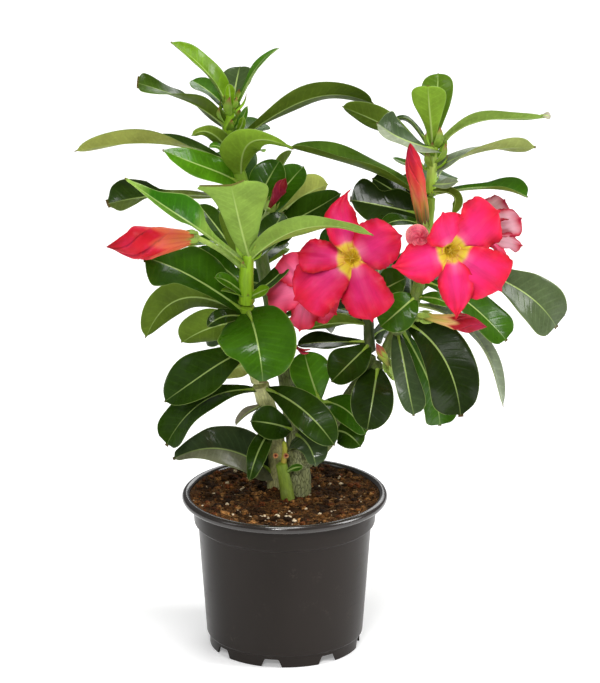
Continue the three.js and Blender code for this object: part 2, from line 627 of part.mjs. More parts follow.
// Each petal's tip is read off the photograph. On an open bloom it lies on the plane through the
// throat, or lean millimetres in front of it; on a half-open one it has a depth of its own.
const BLOOMS = [
  {
    throat: [350, 257, -36],
    calyx: [361, 268, 2],
    stalk: [[361, 268, 2], [364, 271, 7], [366, 276, 12]],
    mouth: 7.5,
    petals: [
      { tip: [351, 195], width: 21, lean: 4 },
      { tip: [400, 228], width: 27, lean: 0 },
      { tip: [377, 321], width: 28, lean: -2 },
      { tip: [296, 304], width: 33, lean: 0 },
      { tip: [295, 250], width: 23, lean: 2 },
    ],
  },
  {
    throat: [453, 252, -50],
    calyx: [436, 244, -16],
    stalk: [[436, 244, -16], [432, 243, -13], [427, 246, -9]],
    mouth: 7.5,
    petals: [
      { tip: [436, 213], width: 23, lean: 3 },
      { tip: [498, 207], width: 31, lean: 0 },
      { tip: [505, 288], width: 31, lean: 0 },
      { tip: [459, 319], width: 27, lean: -2 },
      { tip: [393, 273], width: 31, lean: 0 },
    ],
  },
  {
    throat: [480, 227, 4],
    calyx: [444, 233, -4],
    stalk: [[444, 233, -4], [436, 236, -6], [426, 240, -8]],
    mouth: 6.5,
    petals: [
      { tip: [507, 201, 4], width: 21 },
      { tip: [523, 220, -9], width: 17 },
      { tip: [523, 247, -3], width: 18 },
      { tip: [507, 254, 16], width: 18 },
      { tip: [510, 222, 26], width: 18 },
    ],
  },
  {
    throat: [306, 288, -6],
    calyx: [340, 294, 16],
    stalk: [[340, 294, 16], [352, 298, 15], [368, 303, 10]],
    mouth: 7,
    petals: [
      { tip: [281, 256], width: 20, lean: 2 },
      { tip: [330, 252], width: 22, lean: 2 },
      { tip: [338, 312], width: 24, lean: 2 },
      { tip: [301, 332], width: 24, lean: 2 },
      { tip: [266, 298], width: 27, lean: 2 },
    ],
  },
];

// The point on the line of sight through pixel (u, v) that lies on the plane through a point.
function placeOn([u, v], point, normal) {
  const near = place([u, v, point.y]);
  const ray = near.clone().sub(EYE).normalize();
  const short = point.clone().sub(near).dot(normal) / ray.dot(normal);
  return near.addScaledVector(ray, short);
}

function corolla({ throat, calyx, mouth, petals }) {
  const from = place(calyx);
  const to = place(throat);
  const { ahead } = axisFrame(from, to);
  const funnel = turned(from, to, funnelProfile(from.distanceTo(to), mouth, 0));
  const blades = petals.map(({ tip: pixel, width, lean }) => {
    const flat = pixel.length === 2;
    const tip = flat ? placeOn(pixel, to.clone().addScaledVector(ahead, lean), ahead) : place(pixel);
    const out = tip.clone().sub(to);
    out.addScaledVector(ahead, -out.dot(ahead)).normalize();
    const base = to.clone().addScaledVector(out, mouth - 0.9).addScaledVector(ahead, -1.2);
    return blade({
      base,
      mid: base.clone().lerp(tip, 0.5).addScaledVector(ahead, 1.8),
      tip,
      width,
      roll: -8,
      fold: -4,
      widest: 1.35,
      blunt: 0.6,
      root: 4.2,
      thick: PETAL,
      toward: ahead,
      up: new THREE.Vector3().crossVectors(ahead, out),
    });
  });
  return fuse([funnel, ...blades]);
}

// A calyx with five points round the foot of a corolla, on a stalk that ends in the shoot.
function calyxOn(from, to, stalk, tube, hold) {
  const rim = tube + 1.3;
  const profile = [[-2.6, 0], [-1, 2.5], [2.4, rim], [2.3, 0]];
  const crown = turned(from, to, profile, { sides: 10, teeth: 5.5 });
  const foot = stem(stalk.map(place), [1.6, 1.9], { sides: 6, steps: 1 });
  return cut(fuse([crown, foot]), hold);
}

function bloomStalk({ throat, calyx, mouth, stalk }, carriers) {
  const from = place(calyx);
  const to = place(throat);
  const funnel = turned(from, to, funnelProfile(from.distanceTo(to), mouth, GAP));
  return calyxOn(from, to, stalk, TUBE_RADIUS, [funnel, ...carriers]);
}

// A furled bud: slim tube, fattest about two thirds along, with five twisted pleats to a point.
const BUDS = [
  {
    foot: [196, 237, -22],
    tip: [106, 247, -36],
    girth: 20.5,
    stalk: [[196, 237, -22], [222, 251, -14], [247, 272, -8]],
  },
  {
    foot: [269, 209, 18],
    tip: [286, 178, 12],
    girth: 8,
    stalk: [[269, 209, 18], [264, 219, 26], [256, 231, 39]],
  },
  {
    foot: [424, 226, -21],
    tip: [410, 143, -34],
    girth: 12,
    stalk: [[424, 226, -21], [428, 233, -16], [427, 239, -9]],
  },
  {
    foot: [421, 238, -22],
    tip: [418, 236, -48],
    girth: 13,
    stalk: [[421, 238, -22], [421, 248, -18], [424, 257, -10]],
  },
  {
    foot: [421, 316, -26],
    tip: [487, 327, -42],
    girth: 11,
    stalk: [[421, 316, -26], [418, 319, -21], [408, 314, -10]],
  },
  {
    foot: [392, 371, -22],
    tip: [376, 343, -30],
    girth: 7.5,
    stalk: [[392, 371, -22], [394, 378, -19], [388, 370, -11], [387, 352, -5]],
  },
];

function budProfile(length, girth) {
  const fat = girth / 2;
  return [
    [0, 0],
    [0, TUBE_RADIUS * 0.8],
    [length * 0.18, Math.max(TUBE_RADIUS, fat * 0.42)],
    [length * 0.42, fat * 0.72],
    [length * 0.62, fat],
    [length * 0.78, fat * 0.86],
    [length * 0.92, fat * 0.4],
    [length, 0],
  ];
}

function bud({ foot, tip, girth }, grow = 0) {
  const from = place(foot);
  const to = place(tip);
  const profile = budProfile(from.distanceTo(to), girth);
  return turned(from, to, profile, { sides: 10, pleats: 5, ridge: 0.07, twist: 1.6, grow });
}

function budStalk(spec, carriers) {
  const tube = Math.max(TUBE_RADIUS * 0.8, spec.girth * 0.12);
  const hold = [bud(spec, GAP), ...carriers];
  return calyxOn(place(spec.foot), place(spec.tip), spec.stalk, tube, hold);
}

// ---------------------------------------------------------------- the plant

const plant = new THREE.Group();

function add(name, solid, material) {
  const mesh = new THREE.Mesh(geometryOf(solid), material);
  mesh.name = name;
  plant.add(mesh);
}

const shoot = (stemSpec, leaves) => fuse([branch(stemSpec), ...leaves.map(leaf)]);

function backTrunk(grow) {
  const limbs = [LEFT_BRANCH, RIGHT_BRANCH, FORK_MIDDLE, FORK_RIGHT];
  return fuse([rooted(BACK_TRUNK, grow), ...limbs.map((limb) => branch(limb, grow))]);
}

const bark = [rooted(FRONT_TRUNK, GAP), backTrunk(GAP)];
const shootStems = [FRONT_SHOOT, FRONT_TIP, LEFT_SHOOT, LEFT_TIP, MIDDLE_SHOOT, RIGHT_SHOOT, RIGHT_TIP];
const carriers = [...bark, ...shootStems.map((part) => branch(part, GAP))];
const stub = fuse([rooted(STUB), branch(PEG), leaf(STUB_LEAF)]);

add('pot', pot(), PLASTIC);
add('soil', soil([...bark, rooted(STUB, GAP)]), PEAT);
add('trunk_front', rooted(FRONT_TRUNK), BARK);
add('trunk_back', backTrunk(0), BARK);
add('cut_stub', cut(stub, bark), BARK);
add('shoot_front', shoot(FRONT_SHOOT, FRONT_LEAVES), LEAF);
add('shoot_front_tip', shoot(FRONT_TIP, FRONT_TIP_LEAVES), YOUNG);
add('shoot_left', shoot(LEFT_SHOOT, LEFT_LEAVES), LEAF);
add('shoot_left_tip', shoot(LEFT_TIP, LEFT_TIP_LEAVES), YOUNG);
add('shoot_middle', shoot(MIDDLE_SHOOT, MIDDLE_LEAVES), LEAF);
add('shoot_side', cut(shoot(SIDE_SHOOT, SIDE_LEAVES), bark), LEAF);
add('shoot_right', shoot(RIGHT_SHOOT, RIGHT_LEAVES), LEAF);
add('shoot_right_tip', shoot(RIGHT_TIP, RIGHT_TIP_LEAVES), YOUNG);
LOW_LEAVES.forEach((spec, k) => add(`leaf_low_${k + 1}`, cut(leaf(spec), bark), LEAF));
BLOOMS.forEach((spec, k) => {
  add(`bloom_${k + 1}_corolla`, corolla(spec), PINK);
  add(`bloom_${k + 1}_stalk`, bloomStalk(spec, carriers), CALYX);
});
BUDS.forEach((spec, k) => {
  add(`bud_${k + 1}_corolla`, bud(spec), BUD);
  add(`bud_${k + 1}_stalk`, budStalk(spec, carriers), CALYX);
});

export default plant;
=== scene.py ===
# Looks of the potted desert rose: its leaves, blooms, buds, bark, peat and pot. Sizes are worked in
# millimetres in the part's own frame and turned into metres as meshes are made.

import math
import random

import bmesh
import bpy
import numpy as np
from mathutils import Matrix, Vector, noise


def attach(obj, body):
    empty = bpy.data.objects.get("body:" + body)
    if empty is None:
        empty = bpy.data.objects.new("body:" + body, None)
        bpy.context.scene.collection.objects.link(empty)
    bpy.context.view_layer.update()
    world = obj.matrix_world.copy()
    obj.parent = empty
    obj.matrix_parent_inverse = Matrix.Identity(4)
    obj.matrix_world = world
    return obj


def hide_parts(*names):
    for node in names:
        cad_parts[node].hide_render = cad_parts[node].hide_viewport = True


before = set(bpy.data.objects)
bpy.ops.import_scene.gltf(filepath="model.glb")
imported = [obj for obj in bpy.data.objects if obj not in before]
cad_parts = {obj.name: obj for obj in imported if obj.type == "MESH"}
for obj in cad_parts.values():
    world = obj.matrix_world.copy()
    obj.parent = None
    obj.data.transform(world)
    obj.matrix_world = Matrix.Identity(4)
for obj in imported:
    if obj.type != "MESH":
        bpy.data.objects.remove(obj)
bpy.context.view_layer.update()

MM = 0.001
RNG = random.Random(11)

# ---------------------------------------------------------------- driving dimensions

BLADE = 0.9  # thickness of a leaf
PETAL = 0.9  # thickness of a petal

POT = dict(
    height=101, lip_radius=62.3, lip_round=2.7, collar_radius=58.2, collar_foot=82.2, collar_round=0.9,
    collar_slope=1.7, body_top=54.8, body_foot=49.5, skirt_radius=47.6, skirt_height=7.2,
    floor_radius=34, floor_rise=6.6, wall=1.4,
)
NOTCH = dict(count=8, width=9.7, height=6.3, first=-10, shoulder=1.6, depth=6, hole_radius=2.3, hole_at=42)
SOIL_LEVEL = 95.6
SOIL_MOUND = 1.6
SOIL_LIFT = 0.9  # how far the crumbly ground lies above the solid's top
STEM_DEPTH = 16  # how deep the stems stand in the soil
CRUMB_COUNT = 2300
FIBRE_COUNT = 520
PERLITE_COUNT = 80
PATCH_COUNT = 34
PERLITE_PATCH = (272, 512, -36)  # the middle of a patch with more grit than elsewhere
WORLD_STRENGTH = 0.22

# The photograph's frame and its camera. A plant's bends are read off along lines of sight.
PHOTO_MIDDLE = (300, 341.5)
PHOTO_SIZE = (600, 683)
SCALE = 0.6275  # millimetres a pixel, at the pot's axis
EYE_DISTANCE = 4000
ELEVATION = math.radians(19)
AIM = np.array([9.7, 0, 201.3])
EYE_RIGHT = np.array([1.0, 0, 0])
EYE_FORWARD = np.array([0, math.cos(ELEVATION), -math.sin(ELEVATION)])
EYE_UP = np.array([0, math.sin(ELEVATION), math.cos(ELEVATION)])
TO_EYE = -EYE_FORWARD
EYE = AIM - EYE_DISTANCE * EYE_FORWARD
FOCAL = EYE_DISTANCE / SCALE


def place(pixel):
    """The point on the line of sight through pixel (u, v) that lies at depth y."""
    u, v, y = pixel
    ray = EYE_FORWARD + EYE_RIGHT * (u - PHOTO_MIDDLE[0]) / FOCAL
    ray = ray + EYE_UP * (PHOTO_MIDDLE[1] - v) / FOCAL
    return EYE + ray * (y - EYE[1]) / ray[1]


def unit(v):
    return v / np.linalg.norm(v)


def linear(color):
    """An sRGB colour of 0 to 255 as the linear one that shaders work in."""
    c = np.array(color, float) / 255
    return np.where(c <= 0.04045, c / 12.92, ((c + 0.055) / 1.055) ** 2.4)


# ---------------------------------------------------------------- meshes


VECTORS = ("tint", "skin")  # values with three numbers; the others have one


class Skin:
    """Points, faces and values at each point that grow into one piece."""

    def __init__(self):
        self.points = []
        self.faces = []
        self.values = {}
        self.count = 0

    def add(self, points, faces, **values):
        points = np.asarray(points, float).reshape(-1, 3)
        for name in sorted(set(self.values) | set(values)):
            wide = 3 if name in VECTORS else 1
            rows = np.asarray(values.get(name, 0.0), float)
            rows = rows[:, None] if rows.ndim == wide == 1 else rows
            before = self.values.setdefault(name, [np.zeros((self.count, wide))])
            before.append(np.broadcast_to(rows, (len(points), wide)))
        self.faces += [tuple(i + self.count for i in face) for face in faces]
        self.points.append(points)
        self.count += len(points)

    def piece(self, name, material, slot, nodes=(), sharp=50):
        mesh = bpy.data.meshes.new(name)
        mesh.from_pydata((np.vstack(self.points) * MM).tolist(), [], self.faces)
        for key, rows in self.values.items():
            rows = np.vstack(rows)
            if rows.shape[1] == 1:
                attribute = mesh.attributes.new(key, "FLOAT", "POINT")
                attribute.data.foreach_set("value", rows.ravel().astype(np.float32))
            else:
                attribute = mesh.attributes.new(key, "FLOAT_VECTOR", "POINT")
                attribute.data.foreach_set("vector", rows.ravel().astype(np.float32))
        return finished(name, mesh, material, nodes, sharp)


def turn_outwards(mesh):
    work = bmesh.new()
    work.from_mesh(mesh)
    bmesh.ops.recalc_face_normals(work, faces=work.faces)
    work.to_mesh(mesh)
    work.free()


def finished(name, mesh, material, nodes=(), sharp=50):
    """A mesh turned outwards and shaded, as a piece that rides on the part."""
    turn_outwards(mesh)
    mesh.shade_smooth()
    mesh.set_sharp_from_angle(angle=math.radians(sharp))
    mesh.materials.append(material)
    piece = bpy.data.objects.new(name, mesh)
    bpy.context.scene.collection.objects.link(piece)
    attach(piece, "root")
    if nodes:
        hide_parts(*nodes)
    return piece


def loft_faces(rows, sides, closed=True, caps=True):
    faces = []
    last = sides if closed else sides - 1
    for i in range(rows - 1):
        for j in range(last):
            a, b = i * sides + j, i * sides + (j + 1) % sides
            faces.append((a, b, b + sides, a + sides))
    if caps:
        faces.append(tuple(range(sides))[::-1])
        faces.append(tuple(range((rows - 1) * sides, rows * sides)))
    return faces


def spline(points, count):
    """Evenly spaced points along a centripetal Catmull-Rom curve through points."""
    points = [np.asarray(p, float) for p in points]
    ends = [2 * points[0] - points[1], *points, 2 * points[-1] - points[-2]]
    fine = []
    for i in range(len(points) - 1):
        p0, p1, p2, p3 = ends[i : i + 4]
        d0, d1, d2 = (max(np.linalg.norm(b - a) ** 0.5, 1e-4) for a, b in ((p0, p1), (p1, p2), (p2, p3)))
        t1 = ((p1 - p0) / d0 - (p2 - p0) / (d0 + d1) + (p2 - p1) / d1) * d1
        t2 = ((p2 - p1) / d1 - (p3 - p1) / (d1 + d2) + (p3 - p2) / d2) * d1
        for t in np.linspace(0, 1, 24, endpoint=False):
            h = (2 * t**3 - 3 * t**2 + 1, t**3 - 2 * t**2 + t, -2 * t**3 + 3 * t**2, t**3 - t**2)
            fine.append(h[0] * p1 + h[1] * t1 + h[2] * p2 + h[3] * t2)
    fine = np.array([*fine, points[-1]])
    run = np.concatenate([[0], np.cumsum(np.linalg.norm(np.diff(fine, axis=0), axis=1))])
    at = np.linspace(0, run[-1], count)
    return np.stack([np.interp(at, run, fine[:, k]) for k in range(3)], 1), run[-1]


def smooth_profile(points, count):
    """A profile's points joined by a smooth line, as [distance, radius] pairs."""
    line, _ = spline([(d, r, 0) for d, r in points], count)
    return line[:, :2]


def blend_colors(stops, share):
    """The linear colour at each share of a list of (share, sRGB colour) stops."""
    at = [s for s, _ in stops]
    table = np.array([linear(c) for _, c in stops])
    return np.stack([np.interp(share, at, table[:, k]) for k in range(3)], 1)


def frames(line):
    """Tangents and two turning-free side directions along a line."""
    tangent = np.gradient(line, axis=0)
    tangent /= np.linalg.norm(tangent, axis=1)[:, None]
    side = np.cross(tangent[0], [0.3, 0.9, 0.2])
    sides = []
    for t in tangent:
        side = unit(side - t * (side @ t))
        sides.append(side)
    sides = np.array(sides)
    return tangent, sides, np.cross(tangent, sides)


# ---------------------------------------------------------------- materials


class Graph:
    """A short way to write a node material."""

    def __init__(self, name):
        self.material = bpy.data.materials.new(name)
        self.material.use_nodes = True
        self.tree = self.material.node_tree
        self.shader = self.tree.nodes["Principled BSDF"]

    def node(self, kind, inputs=None, **settings):
        node = self.tree.nodes.new(kind)
        for key, value in settings.items():
            setattr(node, key, value)
        for key, value in (inputs or {}).items():
            self.put(node.inputs[key], value)
        return node

    def put(self, socket, value):
        if isinstance(value, bpy.types.NodeSocket):
            self.tree.links.new(value, socket)
        elif isinstance(value, (tuple, list, np.ndarray)) and socket.type == "RGBA":
            socket.default_value = (*[float(x) for x in value][:3], 1)
        else:
            socket.default_value = value

    def math(self, operation, *values, clamp=False):
        node = self.node("ShaderNodeMath", dict(enumerate(values)), operation=operation, use_clamp=clamp)
        return node.outputs[0]

    def times(self, a, b):
        return self.math("MULTIPLY", a, b)

    def plus(self, a, b):
        return self.math("ADD", a, b)

    def varied(self, scale, detail, low, high):
        """A value that wanders softly between low and high over the surface."""
        return self.ramp(self.noise(scale, detail), 0.3, 0.7, low, high)

    def ramp(self, value, low, high, start=0.0, end=1.0, smooth=True):
        inputs = {"Value": value, "From Min": low, "From Max": high, "To Min": start, "To Max": end}
        kind = "SMOOTHSTEP" if smooth else "LINEAR"
        return self.node("ShaderNodeMapRange", inputs, interpolation_type=kind).outputs[0]

    def mix(self, factor, a, b, blend="MIX"):
        node = self.node("ShaderNodeMix", data_type="RGBA", blend_type=blend)
        self.put(node.inputs["Factor"], factor)
        self.put(node.inputs[6], a)
        self.put(node.inputs[7], b)
        return node.outputs[2]

    def shade(self, color, value):
        """A colour made lighter or darker by a value that is 1 where it stays."""
        node = self.node("ShaderNodeVectorMath", {0: color}, operation="SCALE")
        self.put(node.inputs["Scale"], value)
        return node.outputs[0]

    def attribute(self, name, vector=False):
        node = self.node("ShaderNodeAttribute", attribute_name=name)
        return node.outputs["Vector" if vector else "Fac"]

    def place(self, stretch=(1, 1, 1)):
        """The spot on the part, in metres, stretched along its axes."""
        spot = self.node("ShaderNodeTexCoord").outputs["Object"]
        node = self.node("ShaderNodeMapping", {"Vector": spot})
        node.inputs["Scale"].default_value = stretch
        return node.outputs[0]

    def noise(self, scale, detail=3, vector=None, rough=0.5, distort=0.0):
        inputs = {"Scale": scale, "Detail": detail, "Roughness": rough, "Distortion": distort}
        inputs["Vector"] = vector or self.place()
        return self.node("ShaderNodeTexNoise", inputs).outputs["Fac"]

    def cells(self, scale, feature="F1", vector=None):
        inputs = {"Scale": scale, "Vector": vector or self.place()}
        return self.node("ShaderNodeTexVoronoi", inputs, feature=feature).outputs["Distance"]

    def stretched(self, name, scale):
        """An attribute's vector, scaled along each of its axes."""
        node = self.node("ShaderNodeMapping", {"Vector": self.attribute(name, True)})
        node.inputs["Scale"].default_value = scale
        return node.outputs[0]

    def bump(self, height, strength, distance, normal=None):
        inputs = {"Height": height, "Strength": strength, "Distance": distance}
        if normal:
            inputs["Normal"] = normal
        return self.node("ShaderNodeBump", inputs).outputs[0]

    def finish(self, **sockets):
        for name, value in sockets.items():
            self.put(self.shader.inputs[name.replace("_", " ")], value)
        return self.material


def leaf_material():
    g = Graph("leaf")
    across = g.math("ABSOLUTE", g.attribute("across"))
    along, under = g.attribute("along"), g.attribute("under")
    mottle = g.plus(g.varied(70, 4, 0.84, 1.12), g.varied(600, 2, -0.05, 0.05))
    color = g.shade(g.attribute("tint", True), mottle)
    vein = g.ramp(g.math("PINGPONG", g.attribute("vein"), 0.5), 0.0, 0.2, 1.0, 0.0)
    inside = g.times(g.ramp(across, 0.5, 0.95, 1.0, 0.0), g.ramp(across, 0.0, 0.15))
    vein = g.times(vein, inside)
    color = g.shade(color, g.plus(1.0, g.times(vein, g.ramp(under, 0.0, 1.0, 0.2, 0.1))))
    rib = g.times(g.ramp(g.attribute("rib"), 0.35, 0.75, 1.0, 0.0), g.ramp(along, 0.6, 1.0, 1.0, 0.2))
    color = g.mix(g.times(rib, 0.72), color, linear((172, 196, 112)))
    edge = g.times(g.ramp(g.attribute("edge"), 0.12, 0.42, 1.0, 0.0), g.ramp(along, 0.1, 0.3))
    color = g.mix(g.times(edge, 0.55), color, linear((150, 172, 96)))
    color = g.mix(g.ramp(along, 0.975, 0.995, 0.0, 0.75), color, linear((86, 58, 30)))
    rough = g.plus(g.ramp(under, 0.0, 1.0, 0.3, 0.5), g.varied(120, 3, -0.05, 0.06))
    relief = g.times(vein, g.ramp(under, 0.0, 1.0, -0.2, 0.4))
    relief = g.plus(relief, g.times(g.noise(95, 2), 0.9))
    normal = g.bump(relief, 0.3, 0.0008, g.bump(g.noise(1500, 2), 0.05, 0.0003))
    wax = g.times(g.ramp(under, 0.0, 0.5, 0.4, 0.0), g.ramp(g.noise(60, 3), 0.44, 0.6, 0.03, 1.0))
    g.finish(Coat_Weight=wax, Coat_Roughness=0.12, Coat_Normal=normal)
    return g.finish(Base_Color=color, Roughness=rough, Normal=normal, Specular_IOR_Level=0.06)


def bark_material():
    g = Graph("bark")
    woody = g.attribute("woody")
    net = g.cells(0.75, "DISTANCE_TO_EDGE", g.stretched("skin", (1, 1, 0.3)))
    cracks = g.times(g.ramp(net, 0.01, 0.16, 1.0, 0.0), woody)
    streaks = g.noise(0.5, 5, g.stretched("skin", (1, 1, 0.14)), 0.62)
    color = g.shade(g.attribute("tint", True), g.ramp(streaks, 0.3, 0.7, 0.8, 1.18))
    pale = g.times(g.ramp(g.noise(0.2, 4, g.stretched("skin", (1, 1, 0.4))), 0.45, 0.7, 0.0, 0.35), woody)
    color = g.mix(pale, color, linear((196, 198, 160)))
    color = g.mix(g.times(cracks, 0.75), color, linear((66, 68, 42)))
    height = g.math("SUBTRACT", streaks, g.times(cracks, 0.6))
    normal = g.bump(height, 0.4, 0.0006, g.bump(g.noise(1100, 3), 0.15, 0.0003))
    rough = g.ramp(woody, 0.0, 1.0, 0.4, 0.75)
    return g.finish(Base_Color=color, Roughness=rough, Normal=normal, Specular_IOR_Level=0.25)


def petal_material():
    g = Graph("petal")
    streaks = g.noise(0.55, 4, g.stretched("skin", (1, 0.1, 1)), 0.6)
    color = g.shade(g.attribute("tint", True), g.ramp(streaks, 0.3, 0.7, 0.94, 1.05))
    sheen = g.ramp(g.noise(110, 3), 0.45, 0.75, 0.0, 0.1)
    color = g.mix(sheen, color, linear((236, 70, 160)))
    ribs = g.noise(0.9, 2, g.stretched("skin", (1, 0.05, 1)), 0.5)
    normal = g.bump(ribs, 0.22, 0.0006, g.bump(g.noise(1500, 2), 0.12, 0.0003))
    rough = g.varied(300, 2, 0.44, 0.6)
    return g.finish(Base_Color=color, Roughness=rough, Normal=normal, Specular_IOR_Level=0.2)


def calyx_material():
    g = Graph("calyx")
    color = g.shade(g.attribute("tint", True), g.varied(220, 4, 0.82, 1.18))
    color = g.mix(g.ramp(g.noise(900, 2), 0.55, 0.75, 0.0, 0.3), color, linear((120, 70, 40)))
    normal = g.bump(g.noise(1200, 3), 0.25, 0.0003)
    return g.finish(Base_Color=color, Roughness=g.varied(400, 2, 0.45, 0.62), Normal=normal)


def plastic_material():
    g = Graph("pot_plastic")
    wide = g.noise(14, 3, g.place((1, 1, 0.35)))
    color = g.mix(g.ramp(wide, 0.3, 0.7), linear((36, 32, 29)), linear((43, 38, 35)))
    dust = g.times(g.ramp(g.noise(90, 5), 0.58, 0.76), g.ramp(g.noise(700, 3), 0.45, 0.65))
    color = g.mix(g.times(dust, 0.1), color, linear((120, 110, 100)))
    scuff = g.ramp(g.noise(60, 4, g.place((1, 1, 9))), 0.6, 0.75, 0.0, 0.08)
    height = g.node("ShaderNodeSeparateXYZ", {0: g.place()}).outputs["Z"]
    lip = g.ramp(height, (POT["height"] - 8) * MM, (POT["height"] - 5) * MM)
    glossy = g.times(lip, -0.16)
    rough = g.plus(g.ramp(wide, 0.3, 0.7, 0.28, 0.36), g.plus(scuff, g.times(dust, 0.2)))
    rough = g.plus(rough, glossy)
    normal = g.bump(g.noise(1400, 2), 0.12, 0.0003, g.bump(wide, 0.1, 0.002))
    shine = g.ramp(lip, 0.0, 1.0, 0.1, 0.6)
    return g.finish(Base_Color=color, Roughness=rough, Normal=normal, Specular_IOR_Level=shine)


def peat_material():
    g = Graph("peat")
    color = g.shade(g.attribute("tint", True), g.ramp(g.noise(900, 6, rough=0.7), 0.32, 0.68, 0.2, 2.1))
    color = g.mix(g.ramp(g.noise(85, 4), 0.42, 0.62, 0.0, 0.75), color, linear((30, 19, 10)))
    color = g.mix(g.ramp(g.noise(1300, 3), 0.62, 0.72, 0.0, 0.4), color, linear((146, 110, 66)))
    normal = g.bump(g.noise(800, 6), 1.0, 0.0015)
    return g.finish(
        Base_Color=color, Roughness=g.varied(400, 2, 0.82, 0.97), Normal=normal,
        Specular_IOR_Level=0.12,
    )


def perlite_material():
    g = Graph("perlite")
    color = g.mix(g.ramp(g.noise(500, 4), 0.4, 0.65), linear((226, 208, 174)), linear((170, 142, 106)))
    normal = g.bump(g.noise(1600, 3), 0.5, 0.0006)
    return g.finish(Base_Color=color, Roughness=g.varied(800, 2, 0.7, 0.9), Normal=normal)


LEAF = leaf_material()
BARK = bark_material()
PETALS = petal_material()
CALYX = calyx_material()
PLASTIC = plastic_material()
PEAT = peat_material()
PERLITE = perlite_material()

# ---------------------------------------------------------------- leaves

# Each look is the colour of a leaf's upper face and of its underside; some also carry painted light or
# shade, as noted at each.
LOOKS = {
    "lime": ((104, 142, 22), (118, 152, 44)),
    "bright": ((66, 112, 14), (122, 156, 52)),
    "mid": ((48, 84, 10), (100, 124, 38)),
    # The dark look is deep green, darkened further as painted shade for leaves that stand in less light.
    "dark": ((38, 62, 8), (88, 110, 34)),
    "deep": ((30, 46, 8), (80, 98, 34)),
    "olive": ((62, 88, 22), (86, 108, 30)),
    "khaki": ((60, 86, 28), (138, 146, 70)),
    "pale": ((104, 134, 44), (128, 158, 66)),
    "grey": ((62, 80, 42), (120, 130, 82)),
    "slate": ((56, 72, 42), (112, 120, 80)),
    "fresh": ((88, 122, 24), (110, 140, 40)),
    "dry": ((146, 140, 122), (128, 120, 98)),
    # This look's upper face is grey-green with a painted whitish reflection.
    "grey_painted_reflection": ((120, 132, 104), (150, 162, 88)),
    # This look is the leaf's own grey-green, lightened with painted reflection.
    "ash": ((82, 98, 62), (124, 134, 86)),
}

# Places across half a blade, closer together at its midrib and its margin.
HALF_STATIONS = (0, 0.035, 0.09, 0.17, 0.28, 0.42, 0.57, 0.72, 0.85, 0.94, 1)
STATIONS = np.array([-s for s in HALF_STATIONS[:0:-1]] + list(HALF_STATIONS))
VEIN_SPACING = 5.5


def spread(t, widest, blunt):
    return np.sin(np.pi * np.clip(t, 0, 1) ** widest) ** blunt


